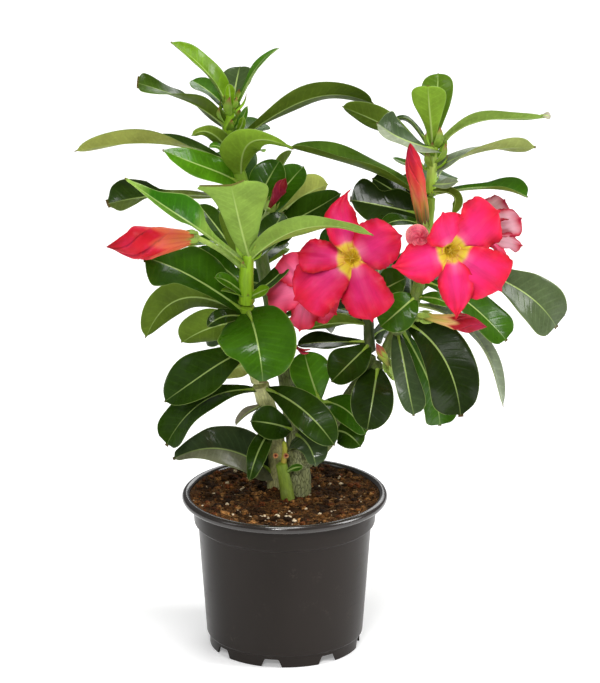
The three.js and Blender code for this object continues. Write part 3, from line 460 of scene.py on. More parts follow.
def blade(
    skin, base, mid, tip, width, colors, roll=0, twist=0, fold=12, widest=1.6, blunt=0.5, thick=BLADE,
    root=1.1, toward=TO_EYE, up=EYE_UP, rows=30, wave=1.1, waves=1.6, rib=1.0, point=0.02, lean=0.0,
    skew=0.0, sway=0.0, curl=0.0, pleat=0.0, ragged=0.0, edges=None, color=None,
):
    """A blade along the curve base, mid, tip, with a rounded margin, a midrib that stands out below,
    waves along its margins and a small point at its tip. lean puts the point off the middle, skew
    or edges make the halves unlike, sway and curl bend it."""
    base, mid, tip = (np.asarray(p, float) for p in (base, mid, tip))
    bend = 2 * mid - 0.5 * base - 0.5 * tip
    t = 1 - (1 - np.linspace(0, 1, rows)) ** 1.5
    line = np.outer((1 - t) ** 2, base) + np.outer(2 * t * (1 - t), bend) + np.outer(t**2, tip)
    ahead = np.outer(1 - t, bend - base) + np.outer(t, tip - bend)
    ahead /= np.linalg.norm(ahead, axis=1)[:, None]
    face = toward - ahead * (ahead @ toward)[:, None]
    face /= np.linalg.norm(face, axis=1)[:, None]
    side = np.cross(face, ahead)
    sign = -1 if side[rows // 2] @ up < 0 else 1
    turn = np.radians(roll + twist * (t - 0.5))[:, None]
    normal = face * np.cos(turn) + side * sign * np.sin(turn)
    sideways = np.cross(ahead, normal)
    length = np.linalg.norm(np.diff(line, axis=0), axis=1).sum()

    body = 1 - point
    s = STATIONS[None, :]
    phase = RNG.uniform(0, 6.3)
    near_tip = np.clip((1 - t) / point, 0, 1) ** 0.8 * (t > 0.5)
    least = np.maximum(np.where(t < 0.5, root, 0.12), 0.045 * width * near_tip)
    if edges:
        halves = [np.interp(t / body, *smooth_profile(edge, 60).T) for edge in edges]
    else:
        halves = [spread(t / body, widest + turned_by, blunt) for turned_by in (-skew, skew)]
    first, second = (np.maximum(width / 2 * share, least) for share in halves)
    half = (first + second) / 2
    nick = 1 + ragged * np.sin(37 * t + phase) * np.sin(23 * t + 2 * phase)
    out = np.where(s < 0, first[:, None], second[:, None]) * s * (1 + (nick[:, None] - 1) * np.abs(s) ** 3)
    lift = math.radians(fold)
    ripple = wave * s**2 * np.sin(2 * np.pi * waves * t[:, None] + phase + 0.9 * np.sign(s))
    rise = half[:, None] * math.sin(lift) * np.abs(s) ** 1.4 + ripple * np.sin(np.pi * t)[:, None] ** 0.7
    rise = rise + pleat * np.cos(3 * np.pi * s + phase) * np.sin(np.pi * t)[:, None]
    rise = rise + (sway * np.sin(2 * np.pi * t) - curl * np.clip(t / 0.3 - 2.33, 0, 1) ** 2)[:, None]
    slide = lean * width * (np.clip(t / 0.4 - 1.5, 0, 1) ** 2)[:, None]
    taper = np.clip(half / 4, 0.35, 1)[:, None]
    deep = thick * taper * np.sqrt(np.clip(1 - s**6, 0, 1))
    ribbed = rib * (1 - 0.8 * t)[:, None] * np.exp(-((out / (1.1 - 0.6 * t)[:, None]) ** 2))
    groove = 0.22 * rib * (1 - 0.7 * t)[:, None] * np.exp(-((out / 0.5) ** 2))
    flat = line[:, None, :] + sideways[:, None, :] * (out * math.cos(lift) + slide)[:, :, None]
    lower = normal[:, None, :]
    top = flat + lower * (rise - thick / 2 + deep / 2 - groove)[:, :, None]
    bottom = flat + lower * (rise - thick / 2 - deep / 2 - ribbed)[:, :, None]
    ring = np.concatenate([top, bottom[:, -2:0:-1]], axis=1)
    ss = np.concatenate([STATIONS, STATIONS[-2:0:-1]])
    under = np.concatenate([np.zeros(len(STATIONS)), np.ones(len(STATIONS) - 2)])
    under[[0, len(STATIONS) - 1]] = 0.5
    sides = len(ss)
    along = np.repeat(t, sides)
    across = np.tile(ss, rows)
    wide = np.repeat(half, sides)
    under = np.tile(under, rows)
    vein = (along * length - 0.6 * np.abs(across) * wide) / VEIN_SPACING
    if color is None:
        upper, lower_color = (linear(c) for c in colors)
        tint = upper + (lower_color - upper) * under[:, None]
    else:
        tint = color(along, across, under)
    skin.add(
        ring, loft_faces(rows, sides), tint=tint, along=along, across=across, under=under, vein=vein,
        rib=np.abs(across) * wide / (1.25 - 0.7 * along), edge=(1 - np.abs(across)) * wide,
        skin=np.stack([across * wide, along * length, under * 7], 1),
    )


def scale_leaf(skin, line, width, out, ahead, colors, **form):
    """A sepal or a bract: a small stiff blade with its back turned outwards."""
    up = np.cross(out, ahead)
    form.update(roll=180, blunt=0.8, thick=0.6, wave=0.1, rib=0.2)
    blade(skin, *line, width, colors, toward=out, up=up, **form)


# Margins of leaves that aren't plainly spoon-shaped, as shares of the length and of half the width.
BLUNT = [(0, 0.1), (0.2, 0.4), (0.45, 0.72), (0.7, 0.95), (0.87, 1), (0.97, 0.7), (1, 0.1)]
SPOON = [(0, 0.1), (0.3, 0.26), (0.5, 0.52), (0.68, 0.9), (0.84, 1.04), (0.96, 0.75), (1, 0.1)]
TAIL = [(0, 0.3), (0.14, 0.75), (0.3, 1), (0.5, 0.8), (0.72, 0.5), (0.9, 0.4), (1, 0)]
CREST = [(0, 0.3), (0.15, 0.85), (0.28, 1.15), (0.42, 0.95), (0.56, 0.55), (0.7, 0.32), (0.88, 0.2), (1, 0)]
CORNER = [(0, 0.12), (0.3, 0.38), (0.7, 0.52), (0.86, 0.76), (0.95, 1.02), (1, 0.94)]
WEDGE = [(0, 0.12), (0.2, 0.34), (0.45, 0.66), (0.72, 0.96), (0.86, 1.04), (0.95, 0.8), (1, 0.4)]
NARROW = [(0, 0.15), (0.2, 0.55), (0.45, 1), (0.63, 0.74), (0.82, 0.62), (0.96, 0.56), (1, 0.34)]
SLOPED = [(0, 0.2), (0.2, 0.75), (0.45, 1), (0.7, 0.8), (0.9, 0.42), (1, 0.1)]
CLEFT = [
    (0, 0.2), (0.2, 0.64), (0.42, 0.95), (0.6, 0.66), (0.72, 0.88), (0.86, 1.06), (0.96, 0.75),
    (1, 0.2),
]
BELLY = [
    (0, 0.12), (0.25, 0.2), (0.38, 0.5), (0.48, 1), (0.585, 0.95), (0.68, 0.68), (0.79, 0.34),
    (0.9, 0.22), (1, 0.05),
]
OVAL = [(0, 0.1), (0.24, 0.36), (0.49, 0.74), (0.7, 0.97), (0.83, 1), (0.93, 0.78), (0.98, 0.45), (1, 0.1)]
FLAP = [(0, 0.3), (0.2, 0.5), (0.5, 0.52), (0.8, 0.5), (0.93, 0.36), (1, 0.05)]
BELLIED = [(0, 0.1), (0.3, 0.4), (0.5, 0.74), (0.66, 1.12), (0.8, 0.9), (0.92, 0.42), (1, 0.1)]
STRIP = [(0, 0.1), (0.3, 0.16), (0.48, 0.14), (0.6, 0.32), (0.76, 0.28), (0.9, 0.16), (1, 0.03)]
FLAG = [(0, 0.15), (0.3, 0.3), (0.5, 0.22), (0.6, 0.38), (0.7, 0.95), (0.82, 1.05), (0.93, 0.78), (1, 0.2)]
FLAG_FOOT = [(0, 0.15), (0.3, 0.24), (0.5, 0.16), (0.68, 0.16), (0.82, 0.44), (0.93, 0.56), (1, 0.2)]
SHOULDER = [
    (0, 0.15), (0.18, 0.62), (0.38, 1.08), (0.55, 1.04), (0.7, 0.6), (0.85, 0.34), (0.97, 0.26),
    (1, 0.1),
]
LOBE = [(0, 0.15), (0.2, 0.32), (0.42, 0.4), (0.6, 0.5), (0.76, 0.88), (0.88, 1.02), (0.97, 0.7), (1, 0.2)]
SPEAR = [(0, 0.2), (0.2, 0.8), (0.42, 1), (0.62, 0.86), (0.78, 0.56), (0.92, 0.34), (0.98, 0.24), (1, 0.08)]
NOTCHED = [(0, 0.24), (0.2, 0.8), (0.45, 1), (0.66, 0.86), (0.76, 0.55), (0.9, 0.38), (1, 0.1)]
ROUND = [(0, 0.2), (0.2, 0.74), (0.45, 1), (0.7, 0.97), (0.9, 0.66), (1, 0.1)]


def turned_over(face, back, start, end=2.0, half=0.4):
    """Colours of a leaf whose upper face shows between two shares of its length and its paler back
    beyond them. half is how much of the back's colour the first half of the blade has."""
    face, back = linear(face), linear(back)

    def color(along, across, under):
        share = np.clip((start - along) / 0.05, 0, 1) + np.clip((along - end) / 0.1, 0, 1)
        share = np.clip(share + half * np.clip(0.5 - 6 * across, 0, 1) + under, 0, 1)
        return face + (back - face) * share[:, None]

    return color


def leaf(base, mid, tip, width, look, **form):
    return dict(base=base, mid=mid, tip=tip, width=width, look=look, form=form)


def grow_leaf(skin, spec):
    """One leaf of a table, a little different in tone and bend from its neighbours."""
    tone = RNG.uniform(0.9, 1.1)
    colors = [tuple(min(255, tone * c) for c in face) for face in LOOKS[spec["look"]]]
    base, mid, tip = (place(spec[key]) for key in ("base", "mid", "tip"))
    length = np.linalg.norm(tip - base)
    form = dict(
        wave=0.045 * spec["width"], sway=0.015 * length * RNG.uniform(-1, 1),
        skew=RNG.uniform(-0.15, 0.15),
    )
    form.update(spec["form"])
    blade(skin, base, mid, tip, spec["width"], colors, **form)
    return base, mid, tip


# ---------------------------------------------------------------- stems, by pixel and depth

GREY_BARK = (142, 146, 98)
# The front trunk's pale and green bark colours are its own pale grey-green, lightened as painted light
# against the shade that the leaves cast on it.
PALE_BARK_PAINTED_LIGHT = (202, 202, 140)
GREEN_BARK_PAINTED_LIGHT = (170, 168, 104)
OLD_GREEN = (84, 100, 42)
DARK_GREEN = (48, 68, 28)
NEW_GREEN = (128, 164, 52)
SOFT_GREEN = (90, 122, 46)
FRESH_GREEN = (144, 186, 40)
PALE_GREEN = (196, 214, 118)

def stem(path, radii, colors, woody):
    """A stem by its path and radii, and its colours and woodiness at its foot and at its tip."""
    return dict(path=path, radii=radii, colors=colors, woody=woody)


FRONT_TRUNK = stem(
    [(276, 490, 17), (277, 450, 14), (273, 425, 11), (266, 403, 8), (260, 383, 6)],
    [5.8, 5.6, 5.5, 5.5, 5.4], (GREEN_BARK_PAINTED_LIGHT, PALE_BARK_PAINTED_LIGHT), (0.7, 0.3))
FRONT_SHOOT = stem(
    [(259.6, 382, 5.8), (252, 350, 2), (248, 325, -1), (247, 305, -4)],
    [5.4, 5.2, 4.9, 4.7], (PALE_BARK_PAINTED_LIGHT, FRESH_GREEN), (0.3, 0))
FRONT_TIP = stem(
    [(247, 304, -4), (246, 285, -7), (247, 265, -11), (250, 247, -16)],
    [4.7, 4.7, 4.3, 3], (FRESH_GREEN, FRESH_GREEN), (0, 0))
BACK_TRUNK = stem(
    [(298, 495, 8), (298, 470, 9), (295, 446, 11)],
    [8.6, 7.8, 6.6], (GREY_BARK, GREY_BARK), (1, 1))
LEFT_BRANCH = stem(
    [(296, 462, 9.5), (294, 436, 13), (290, 410, 17), (286, 382, 20), (278, 340, 26)],
    [5.6, 5.2, 4.8, 4.5, 4.3], (GREY_BARK, OLD_GREEN), (1, 0.7))
RIGHT_BRANCH = stem(
    [(298, 466, 9), (310, 456, 8), (325, 443, 6), (340, 417, 3), (351, 395, 1), (369, 373, -2)],
    [5.8, 5.4, 5, 4.8, 4.6, 4.6], (GREY_BARK, OLD_GREEN), (1, 0.7))
FORK_MIDDLE = stem(
    [(366, 377, -1.5), (370, 366, -1), (370, 354, 1)],
    [4, 3.8, 3.6], (OLD_GREEN, OLD_GREEN), (0.7, 0.6))
FORK_RIGHT = stem(
    [(366, 377, -1.5), (374, 369, -2.8), (380.5, 362.8, -3.6)],
    [4.2, 4.1], (OLD_GREEN, OLD_GREEN), (0.7, 0.6))
LEFT_SHOOT = stem(
    [(277.6, 339, 26), (270, 300, 32), (255, 230, 40), (243, 187, 42)],
    [4.3, 4.3, 4.3, 4.4], (OLD_GREEN, SOFT_GREEN), (0.6, 0.1))
LEFT_TIP = stem(
    [(242.7, 186, 42), (236, 165, 41), (229, 148, 40), (228, 128, 39), (232, 106, 38)],
    [4.4, 4.4, 4.2, 3.6, 2.2], (NEW_GREEN, FRESH_GREEN), (0.1, 0))
MIDDLE_SHOOT = stem(
    [(370, 353, 1), (369, 335, 6), (368, 310, 9), (366, 285, 12), (365, 262, 13)],
    [3.6, 3.4, 3.2, 3, 2.4], (DARK_GREEN, OLD_GREEN), (0.6, 0.1))
SIDE_SHOOT = stem(
    [(325, 436, 2), (322, 416, -2), (320, 399, -5)],
    [3.2, 3, 2.4], (SOFT_GREEN, NEW_GREEN), (0.3, 0))
RIGHT_SHOOT = stem(
    [(382, 361, -3.8), (395, 334, -8), (412, 306, -10), (423, 265, -10), (427, 229, -8), (430, 196, -5)],
    [4.1, 4, 3.9, 3.8, 3.7, 3.6], (OLD_GREEN, NEW_GREEN), (0.6, 0.1))
RIGHT_TIP = stem(
    [(430, 195, -5), (432, 170, -2), (434, 146, 0)],
    [3.6, 3.2, 2], (FRESH_GREEN, PALE_GREEN), (0.1, 0))
STUB = stem(
    [(288, 501, -3), (285, 482, -2), (281, 462, -1)],
    [4.6, 3.9, 3.6], ((128, 138, 56), (138, 166, 54)), (0.5, 0.1))
PEG = stem(
    [(283, 466, -1.5), (285, 450, 0), (284, 441, 1)],
    [1.9, 1.5], ((176, 150, 60), (178, 190, 66)), (0, 0))
STUB_LEAF = leaf((287, 472, -4), (294, 468, -7), (303, 467, -9), 5, "mid")

# ---------------------------------------------------------------- leaves, by pixel and depth

LEFT_TIP_LEAVES = [
    leaf((230, 112, 38), (205, 70, 34), (171, 42, 30), 21, "lime", roll=60, fold=28, edges=(ROUND, SLOPED)),
    leaf(
        (228, 128, 39), (184, 98, 32), (137, 83, 28), 29, "olive", roll=90, twist=-112, fold=16,
        edges=(NARROW, NARROW),
    ),
    leaf((230, 164, 40), (162, 142, 30), (74, 151, 20), 24, "khaki", roll=88, twist=90, fold=24, sway=0),
    leaf((238, 182, 40), (205, 167, 22), (163, 150, 8), 22, "bright", roll=38, edges=(ROUND, SLOPED)),
    leaf((229, 112, 40), (210, 92, 50), (191, 80, 58), 21, "mid", roll=58),
    leaf((232, 108, 38), (236, 84, 52), (240, 66, 64), 22, "grey", roll=25),
    leaf((233, 112, 38), (252, 74, 42), (279, 47, 48), 13, "bright", roll=72),
    leaf((240, 172, 38), (252, 141, 22), (294, 149, 8), 27, "fresh", roll=152, edges=(CREST, CREST)),
    leaf((230, 150, 40), (210, 132, 32), (191, 136, 26), 12, "mid", roll=150, edges=(TAIL, TAIL)),
    leaf((232, 158, 40), (220, 147, 34), (209, 147, 30), 6, "bright", roll=40),
    leaf((231, 140, 38), (240, 128, 30), (243, 117, 26), 6, "lime", roll=30),
    leaf((230, 146, 40), (304, 99, 34), (374, 103, 34), 24, "olive", roll=118),
    leaf((231, 110, 37), (230, 96, 33), (229, 84, 30), 7, "lime", roll=20),
    leaf((230, 132, 38), (240, 122, 34), (247, 106, 31), 6, "bright", roll=30),
    leaf((235, 160, 43), (248, 134, 66), (263, 122, 92), 22, "mid", roll=30, fold=20),
]
LEFT_LEAVES = [
    leaf((252, 217, 40), (264, 188, 47), (280, 160, 52), 24, "mid", roll=20),
    leaf((248, 207, 42), (276, 172, 58), (291, 150, 66), 16, "olive", roll=110),
    leaf((255, 230, 40), (281, 192, 50), (304, 166, 58), 24, "mid", roll=35),
    leaf((256, 232, 42), (295, 200, 64), (328, 184, 76), 24, "khaki", roll=145),
    leaf((258, 245, 39), (302, 216, 42), (341, 193, 44), 26, "dark", roll=48),
    leaf((259, 250, 40), (274, 232, 48), (292, 212, 56), 26, "mid", roll=20),
    leaf(
        (246, 198, 41), (174, 195, 34), (107, 204, 22), 32, "deep", roll=55, twist=-50,
        edges=(FLAG_FOOT, FLAG), color=turned_over((38, 58, 14), (104, 116, 56), 0.58),
    ),
    leaf((257, 244, 38), (222, 240, 32), (184, 246, 24), 13, "bright", roll=60),
    leaf((244, 192, 44), (236, 163, 74), (222, 150, 104), 30, "mid", roll=20, twist=40),
    leaf((252, 215, 43), (272, 195, 70), (302, 196, 92), 27, "dark", roll=-40),
    leaf((257, 240, 42), (240, 217, 66), (214, 214, 84), 26, "mid", roll=45, fold=22),
    leaf((262, 262, 40), (266, 242, 80), (262, 262, 118), 32, "dark", twist=-40, fold=6),
    leaf((268, 290, 36), (244, 283, 52), (220, 304, 62), 24, "mid", roll=30),
]
FRONT_TIP_LEAVES = [
    leaf((249, 256, -15), (239, 220, -36), (231, 184, -52), 43, "pale", roll=175, edges=(WEDGE, CORNER)),
    leaf(
        (250, 258, -14), (307, 226, -38), (374, 235, -54), 24, "pale", roll=120, sway=0,
        edges=(TAIL, TAIL),
    ),
    leaf(
        (247, 266, -13), (188, 222, -38), (125, 178, -48), 32, "bright", roll=36, fold=20,
        edges=(STRIP, BELLY), color=turned_over((46, 98, 12), (122, 154, 62), 0.45, 0.8),
    ),
    leaf((247, 264, -9), (236, 240, -6), (221, 209, -4), 15, "olive", roll=150),
    leaf((246, 268, -8), (222, 234, 2), (198, 204, 8), 17, "dark", roll=30),
    leaf((250, 264, -9), (269, 236, 6), (283, 212, 14), 19, "dark", roll=20),
    leaf((247, 288, -6), (224, 268, 4), (199, 246, 10), 17, "mid", roll=40),
    leaf((249, 292, -6), (270, 282, 4), (291, 260, 12), 14, "dark", roll=50),
    leaf((246, 296, -6), (232, 284, -14), (215, 277, -21), 11, "bright", roll=40),
    leaf((247, 298, -6), (258, 293, -12), (269, 288, -18), 8, "lime", roll=30),
    leaf((246, 298, -6), (236, 292, -12), (221, 290, -17), 7, "lime", roll=60),
]
FRONT_LEAVES = [
    leaf((248, 311, -5), (257, 340, -38), (263, 383, -50), 49, "mid", fold=9, edges=(ROUND, NOTCHED)),
    leaf((248, 314, -3), (190, 276, -12), (144, 257, -20), 37, "mid", roll=25, edges=(LOBE, SHOULDER)),
    leaf((248, 316, -1), (184, 297, 14), (145, 338, 18), 25, "olive", roll=146),
    leaf((248, 320, -2), (212, 326, 4), (181, 342, 8), 28, "olive", roll=140),
    leaf((248, 318, -3), (226, 316, -16), (207, 327, -24), 12, "dark", roll=30),
    leaf((251, 348, 1), (208, 371, -8), (164, 402, -14), 34, "dark", roll=32),
    leaf((254, 362, 4), (238, 366, 16), (221, 378, 24), 20, "khaki", roll=150),
    leaf((252, 345, 4), (228, 330, 22), (205, 335, 42), 26, "dark", roll=20, twist=30),
    leaf((257, 370, 6), (249, 352, 30), (244, 352, 62), 25, "mid", fold=20),
]
MIDDLE_LEAVES = [
    leaf((368, 318, 8), (322, 311, 16), (281, 317, 20), 18, "dark", roll=70),
    leaf((368, 324, 7), (330, 322, 4), (304, 328, 2), 18, "olive", roll=122),
    leaf((369, 342, 4), (328, 342, 4), (297, 345, 2), 20, "deep", roll=58),
    leaf((370, 344, 3), (352, 361, -10), (331, 382, -16), 27, "dark", roll=30),
    leaf((367, 298, 11), (386, 288, 2), (406, 278, -4), 22, "mid", roll=20),
    leaf((368, 325, 10), (345, 309, 40), (322, 326, 64), 28, "dark", roll=30),
    leaf((367, 302, 12), (378, 273, 52), (381, 262, 96), 30, "mid", twist=30, fold=22),
    leaf((366, 280, 14), (345, 252, 34), (318, 240, 58), 26, "mid", roll=10, twist=-30),
    leaf((369, 340, 7), (388, 329, 28), (400, 347, 50), 24, "dark", roll=-35),
]
SIDE_LEAVES = [
    leaf((320, 402, -4), (311, 377, -3), (304, 351, 1), 27, "bright", roll=12),
    leaf((321, 402, -4), (345, 409, -12), (366, 435, -16), 24, "mid", roll=38),
]
RIGHT_LEAVES = [
    leaf((416, 296, -10), (401, 309, -22), (380, 327, -28), 26, "mid", roll=10),
    leaf((415, 298, -11), (434, 298, -18), (450, 306, -22), 10, "bright", roll=30),
    leaf((397, 331, -8), (406, 374, -30), (414, 416, -40), 19, "slate", roll=22, edges=(BLUNT, ROUND)),
    leaf((404, 321, -9), (443, 357, -25), (461, 417, -32), 35, "deep", roll=5, edges=(ROUND, BLUNT)),
    leaf((400, 326, -8), (430, 384, -2), (440, 426, -2), 25, "mid", roll=30, edges=(BLUNT, BLUNT)),
    # This leaf's upper face is painted with a whitish reflection.
    leaf((413, 304, -9), (472, 331, 8), (504, 407, 12), 24, "grey_painted_reflection", roll=70),
    leaf((420, 280, -9), (470, 304, -12), (507, 341, -16), 28, "mid", roll=38, edges=(BLUNT, BLUNT)),
    # This leaf's grey-green is lightened with painted reflection.
    leaf((424, 258, -8), (508, 283, 0), (557, 328, 12), 34, "ash", roll=25, edges=(SPOON, SPOON)),
    leaf((427, 216, -6), (385, 206, 2), (350, 200, 4), 31, "deep", roll=36, edges=(ROUND, CLEFT)),
    leaf((427, 217, -6), (402, 196, 12), (372, 178, 20), 26, "deep", roll=30),
    leaf((427, 228, -8), (402, 220, -16), (378, 231, -20), 16, "dark", roll=60),
    leaf((429, 200, -5), (356, 164, 16), (289, 146, 30), 27, "olive", roll=74, fold=28),
    leaf((427, 228, -5), (412, 199, 30), (394, 190, 68), 30, "dark", roll=25, fold=20),
    leaf((424, 262, -7), (445, 238, 22), (472, 238, 48), 30, "mid", roll=-40, twist=30),
    leaf((412, 304, -7), (411, 274, 34), (418, 279, 74), 28, "dark", twist=-40, fold=6),
    leaf((418, 286, -7), (440, 272, 14), (466, 284, 34), 26, "mid", roll=-30),
    leaf((430, 198, -3), (438, 177, 22), (443, 171, 56), 24, "mid", twist=40),
]
RIGHT_TIP_LEAVES = [
    leaf((433, 148, 0), (430, 112, -14), (428, 85, -22), 22, "lime", roll=172, edges=(OVAL, OVAL)),
    leaf((433, 148, 1), (437, 100, 18), (438, 73, 28), 21, "fresh", roll=10),
    leaf(
        (433, 152, 0), (488, 118, -4), (549, 117, -8), 17, "pale", roll=112, sway=2.2, wave=1,
        edges=(BELLIED, SLOPED),
    ),
    leaf((540, 116, -8), (546, 115, -10), (551, 118, -9), 5, "dry", roll=30, fold=10),
    # This leaf's upper face is painted with a whitish reflection.
    leaf(
        (432, 172, -2), (480, 150, 2), (536, 147, 0), 21, "grey_painted_reflection", roll=90, twist=96,
        edges=(ROUND, ROUND),
    ),
    leaf((430, 194, -4), (486, 187, -2), (528, 197, -4), 23, "mid", roll=68, fold=24, edges=(SPOON, SPOON)),
    # This leaf's upper face is painted with a whitish reflection.
    leaf((431, 184, -4), (443, 184, -12), (458, 181, -18), 9, "grey_painted_reflection", roll=45),
    leaf((430, 190, -5), (455, 195, -16), (452, 215, -22), 12, "olive", roll=120),
    leaf(
        (438, 150, -4), (405, 140, -14), (377, 123, -18), 27, "slate", roll=44, twist=-40,
        edges=(FLAP, SPOON), color=turned_over((66, 84, 52), (140, 148, 124), 0, half=1),
    ),
    leaf((432, 160, -1), (385, 124, 16), (342, 106, 24), 21, "olive", roll=130),
    leaf((433, 155, 0), (410, 121, 18), (388, 127, 28), 12, "dark", roll=80),
    leaf((432, 168, -2), (412, 165, 6), (393, 157, 10), 9, "mid", roll=60),
]
LOW_LEAVES = [
    leaf((261, 390, 6), (201, 403, -8), (166, 446, -14), 33, "dark", roll=50, edges=(BLUNT, BLUNT)),
    leaf(
        (276, 476, 15), (228, 450, -2), (173, 459, -14), 36, "slate", roll=38, fold=16,
        edges=(SPEAR, SPEAR), color=turned_over((50, 64, 38), (126, 128, 100), 0, half=0.9),
    ),
    leaf((272, 428, 10), (258, 452, -10), (249, 481, -18), 14, "dark", roll=20, edges=(ROUND, SPEAR)),
    leaf((293, 430, 12), (274, 424, -3), (250, 421, -8), 22, "dark", roll=12),
    leaf((264, 388, 6), (302, 409, -24), (335, 446, -34), 24, "dark", roll=12),
    leaf((332, 432, 5), (346, 433, -8), (361, 447, -14), 19, "dark", roll=10),
    leaf((295, 434, 12), (308, 445, -8), (316, 467, -16), 23, "slate", roll=10, edges=(ROUND, TAIL)),
    leaf((267, 402, 8), (250, 411, 0), (235, 425, -4), 9, "dry", roll=60, fold=30),
    leaf((378, 366, -4), (373, 397, -22), (367, 431, -30), 28, "deep", roll=5, widest=1.3),
    leaf((291, 415, 18), (300, 394, 46), (315, 398, 74), 26, "mid", twist=30, fold=20),
    leaf((342, 412, 5), (360, 396, 24), (374, 414, 44), 25, "dark", roll=-30),
]


def tube(skin, line_points, radii, colors, woody, sides=22, spacing=1.3, scars=5.0, shrink=0.0):
    """A stem with rounded ends, gentle swellings where its leaves stood, and their scars."""
    _, length = spline(line_points, 2)
    count = max(6, int(length / spacing))
    line, length = spline(line_points, count)
    _, first, second = frames(line)
    share = np.linspace(0, 1, count)
    radius = np.interp(share * (len(radii) - 1), range(len(radii)), radii) - shrink
    ends = np.minimum(share, 1 - share) * length
    radius = radius * np.sqrt(np.clip(1 - (1 - np.clip(ends / 1.2, 0, 1)) ** 2, 0.15, 1))
    turn = np.linspace(0, 2 * np.pi, sides, endpoint=False)
    seed = RNG.uniform(0, 50)
    swell = np.ones((count, sides))
    for k in range(int(length / scars)):
        at, angle = (k + 0.5) * scars, 2.4 * k + seed
        near = ((share * length - at) / 1.5)[:, None] ** 2
        round_it = (1 - np.cos(turn - angle))[None, :] * 3.0
        swell += 0.07 * np.exp(-near - round_it)
    for i in range(count):
        for j in range(0, sides):
            spot = Vector((math.cos(turn[j]) * 1.4, math.sin(turn[j]) * 1.4, share[i] * length / 6 + seed))
            swell[i, j] += 0.035 * noise.noise(spot)
    ring = (
        line[:, None, :]
        + first[:, None, :] * (radius[:, None] * swell * np.cos(turn))[:, :, None]
        + second[:, None, :] * (radius[:, None] * swell * np.sin(turn))[:, :, None]
    )
    along = np.repeat(share, sides)
    low, high = (linear(c) for c in colors)
    around = np.tile(turn, count)
    wide = np.repeat(radius, sides)
    skin.add(
        ring, loft_faces(count, sides), tint=low + (high - low) * along[:, None],
        woody=woody[0] + (woody[1] - woody[0]) * along,
        skin=np.stack([np.cos(around) * wide, np.sin(around) * wide, along * length + seed], 1),
    )


def grow_stem(skin, spec, rooted=False, **form):
    points = [place(p) for p in spec["path"]]
    radii = list(spec["radii"])
    if rooted:
        foot = points[0].copy()
        foot[2] = SOIL_LEVEL - STEM_DEPTH
        points, radii = [foot, *points], [radii[0], *radii]
    tube(skin, points, radii, spec["colors"], spec["woody"], **form)


# ---------------------------------------------------------------- bodies turned about an axis


def axis_frame(start, end):
    ahead = unit(end - start)
    right = unit(EYE_RIGHT - ahead * (EYE_RIGHT @ ahead))
    return ahead, right, np.cross(right, ahead)


def turned(skin, start, end, profile, sides, shape, color):
    """A body of revolution along an axis. shape gives each point's share of the radius, and
    color its colour, from its row's share of the length and its angle."""
    ahead, right, over = axis_frame(start, end)
    profile = np.array(profile, float)
    turn = np.linspace(0, 2 * np.pi, sides, endpoint=False)
    share = np.linspace(0, 1, len(profile))
    along, around = np.repeat(share, sides), np.tile(turn, len(profile))
    out = np.repeat(np.maximum(profile[:, 1], 0.02), sides) * shape(along, around)
    ahead_by = np.repeat(profile[:, 0], sides)
    points = start + np.outer(ahead_by, ahead)
    points += np.outer(out * np.cos(around), right) + np.outer(out * np.sin(around), over)
    skin.add(
        points, loft_faces(len(profile), sides), tint=color(along, around),
        skin=np.stack([around * 3, ahead_by, np.zeros(len(out))], 1),
    )


# ---------------------------------------------------------------- blooms

TUBE_RADIUS = 2.2
FLARE = 0.62

# The two margins of a petal, as shares of its length and of half its width: one swells early and
# runs straight to the point, the other is widest close to it. A pointed one has two early ones.
EARLY = [(0, 0.34), (0.14, 0.62), (0.32, 0.86), (0.5, 0.98), (0.64, 1), (0.78, 0.86), (0.9, 0.52), (1, 0)]
LATE = [(0, 0.34), (0.14, 0.58), (0.32, 0.8), (0.55, 0.94), (0.75, 1.02), (0.86, 1), (0.95, 0.72), (1, 0)]
SLIM = [
    (0, 0.34), (0.1, 0.56), (0.2, 0.8), (0.32, 0.95), (0.45, 1), (0.6, 0.93), (0.76, 0.66),
    (0.9, 0.3), (1, 0),
]
FULL = [(0, 0.5), (0.1, 0.78), (0.28, 1), (0.48, 1.06), (0.68, 0.96), (0.85, 0.68), (0.95, 0.36), (1, 0)]
SQUARE = (LATE, EARLY)
POINTED = (SLIM, SLIM)

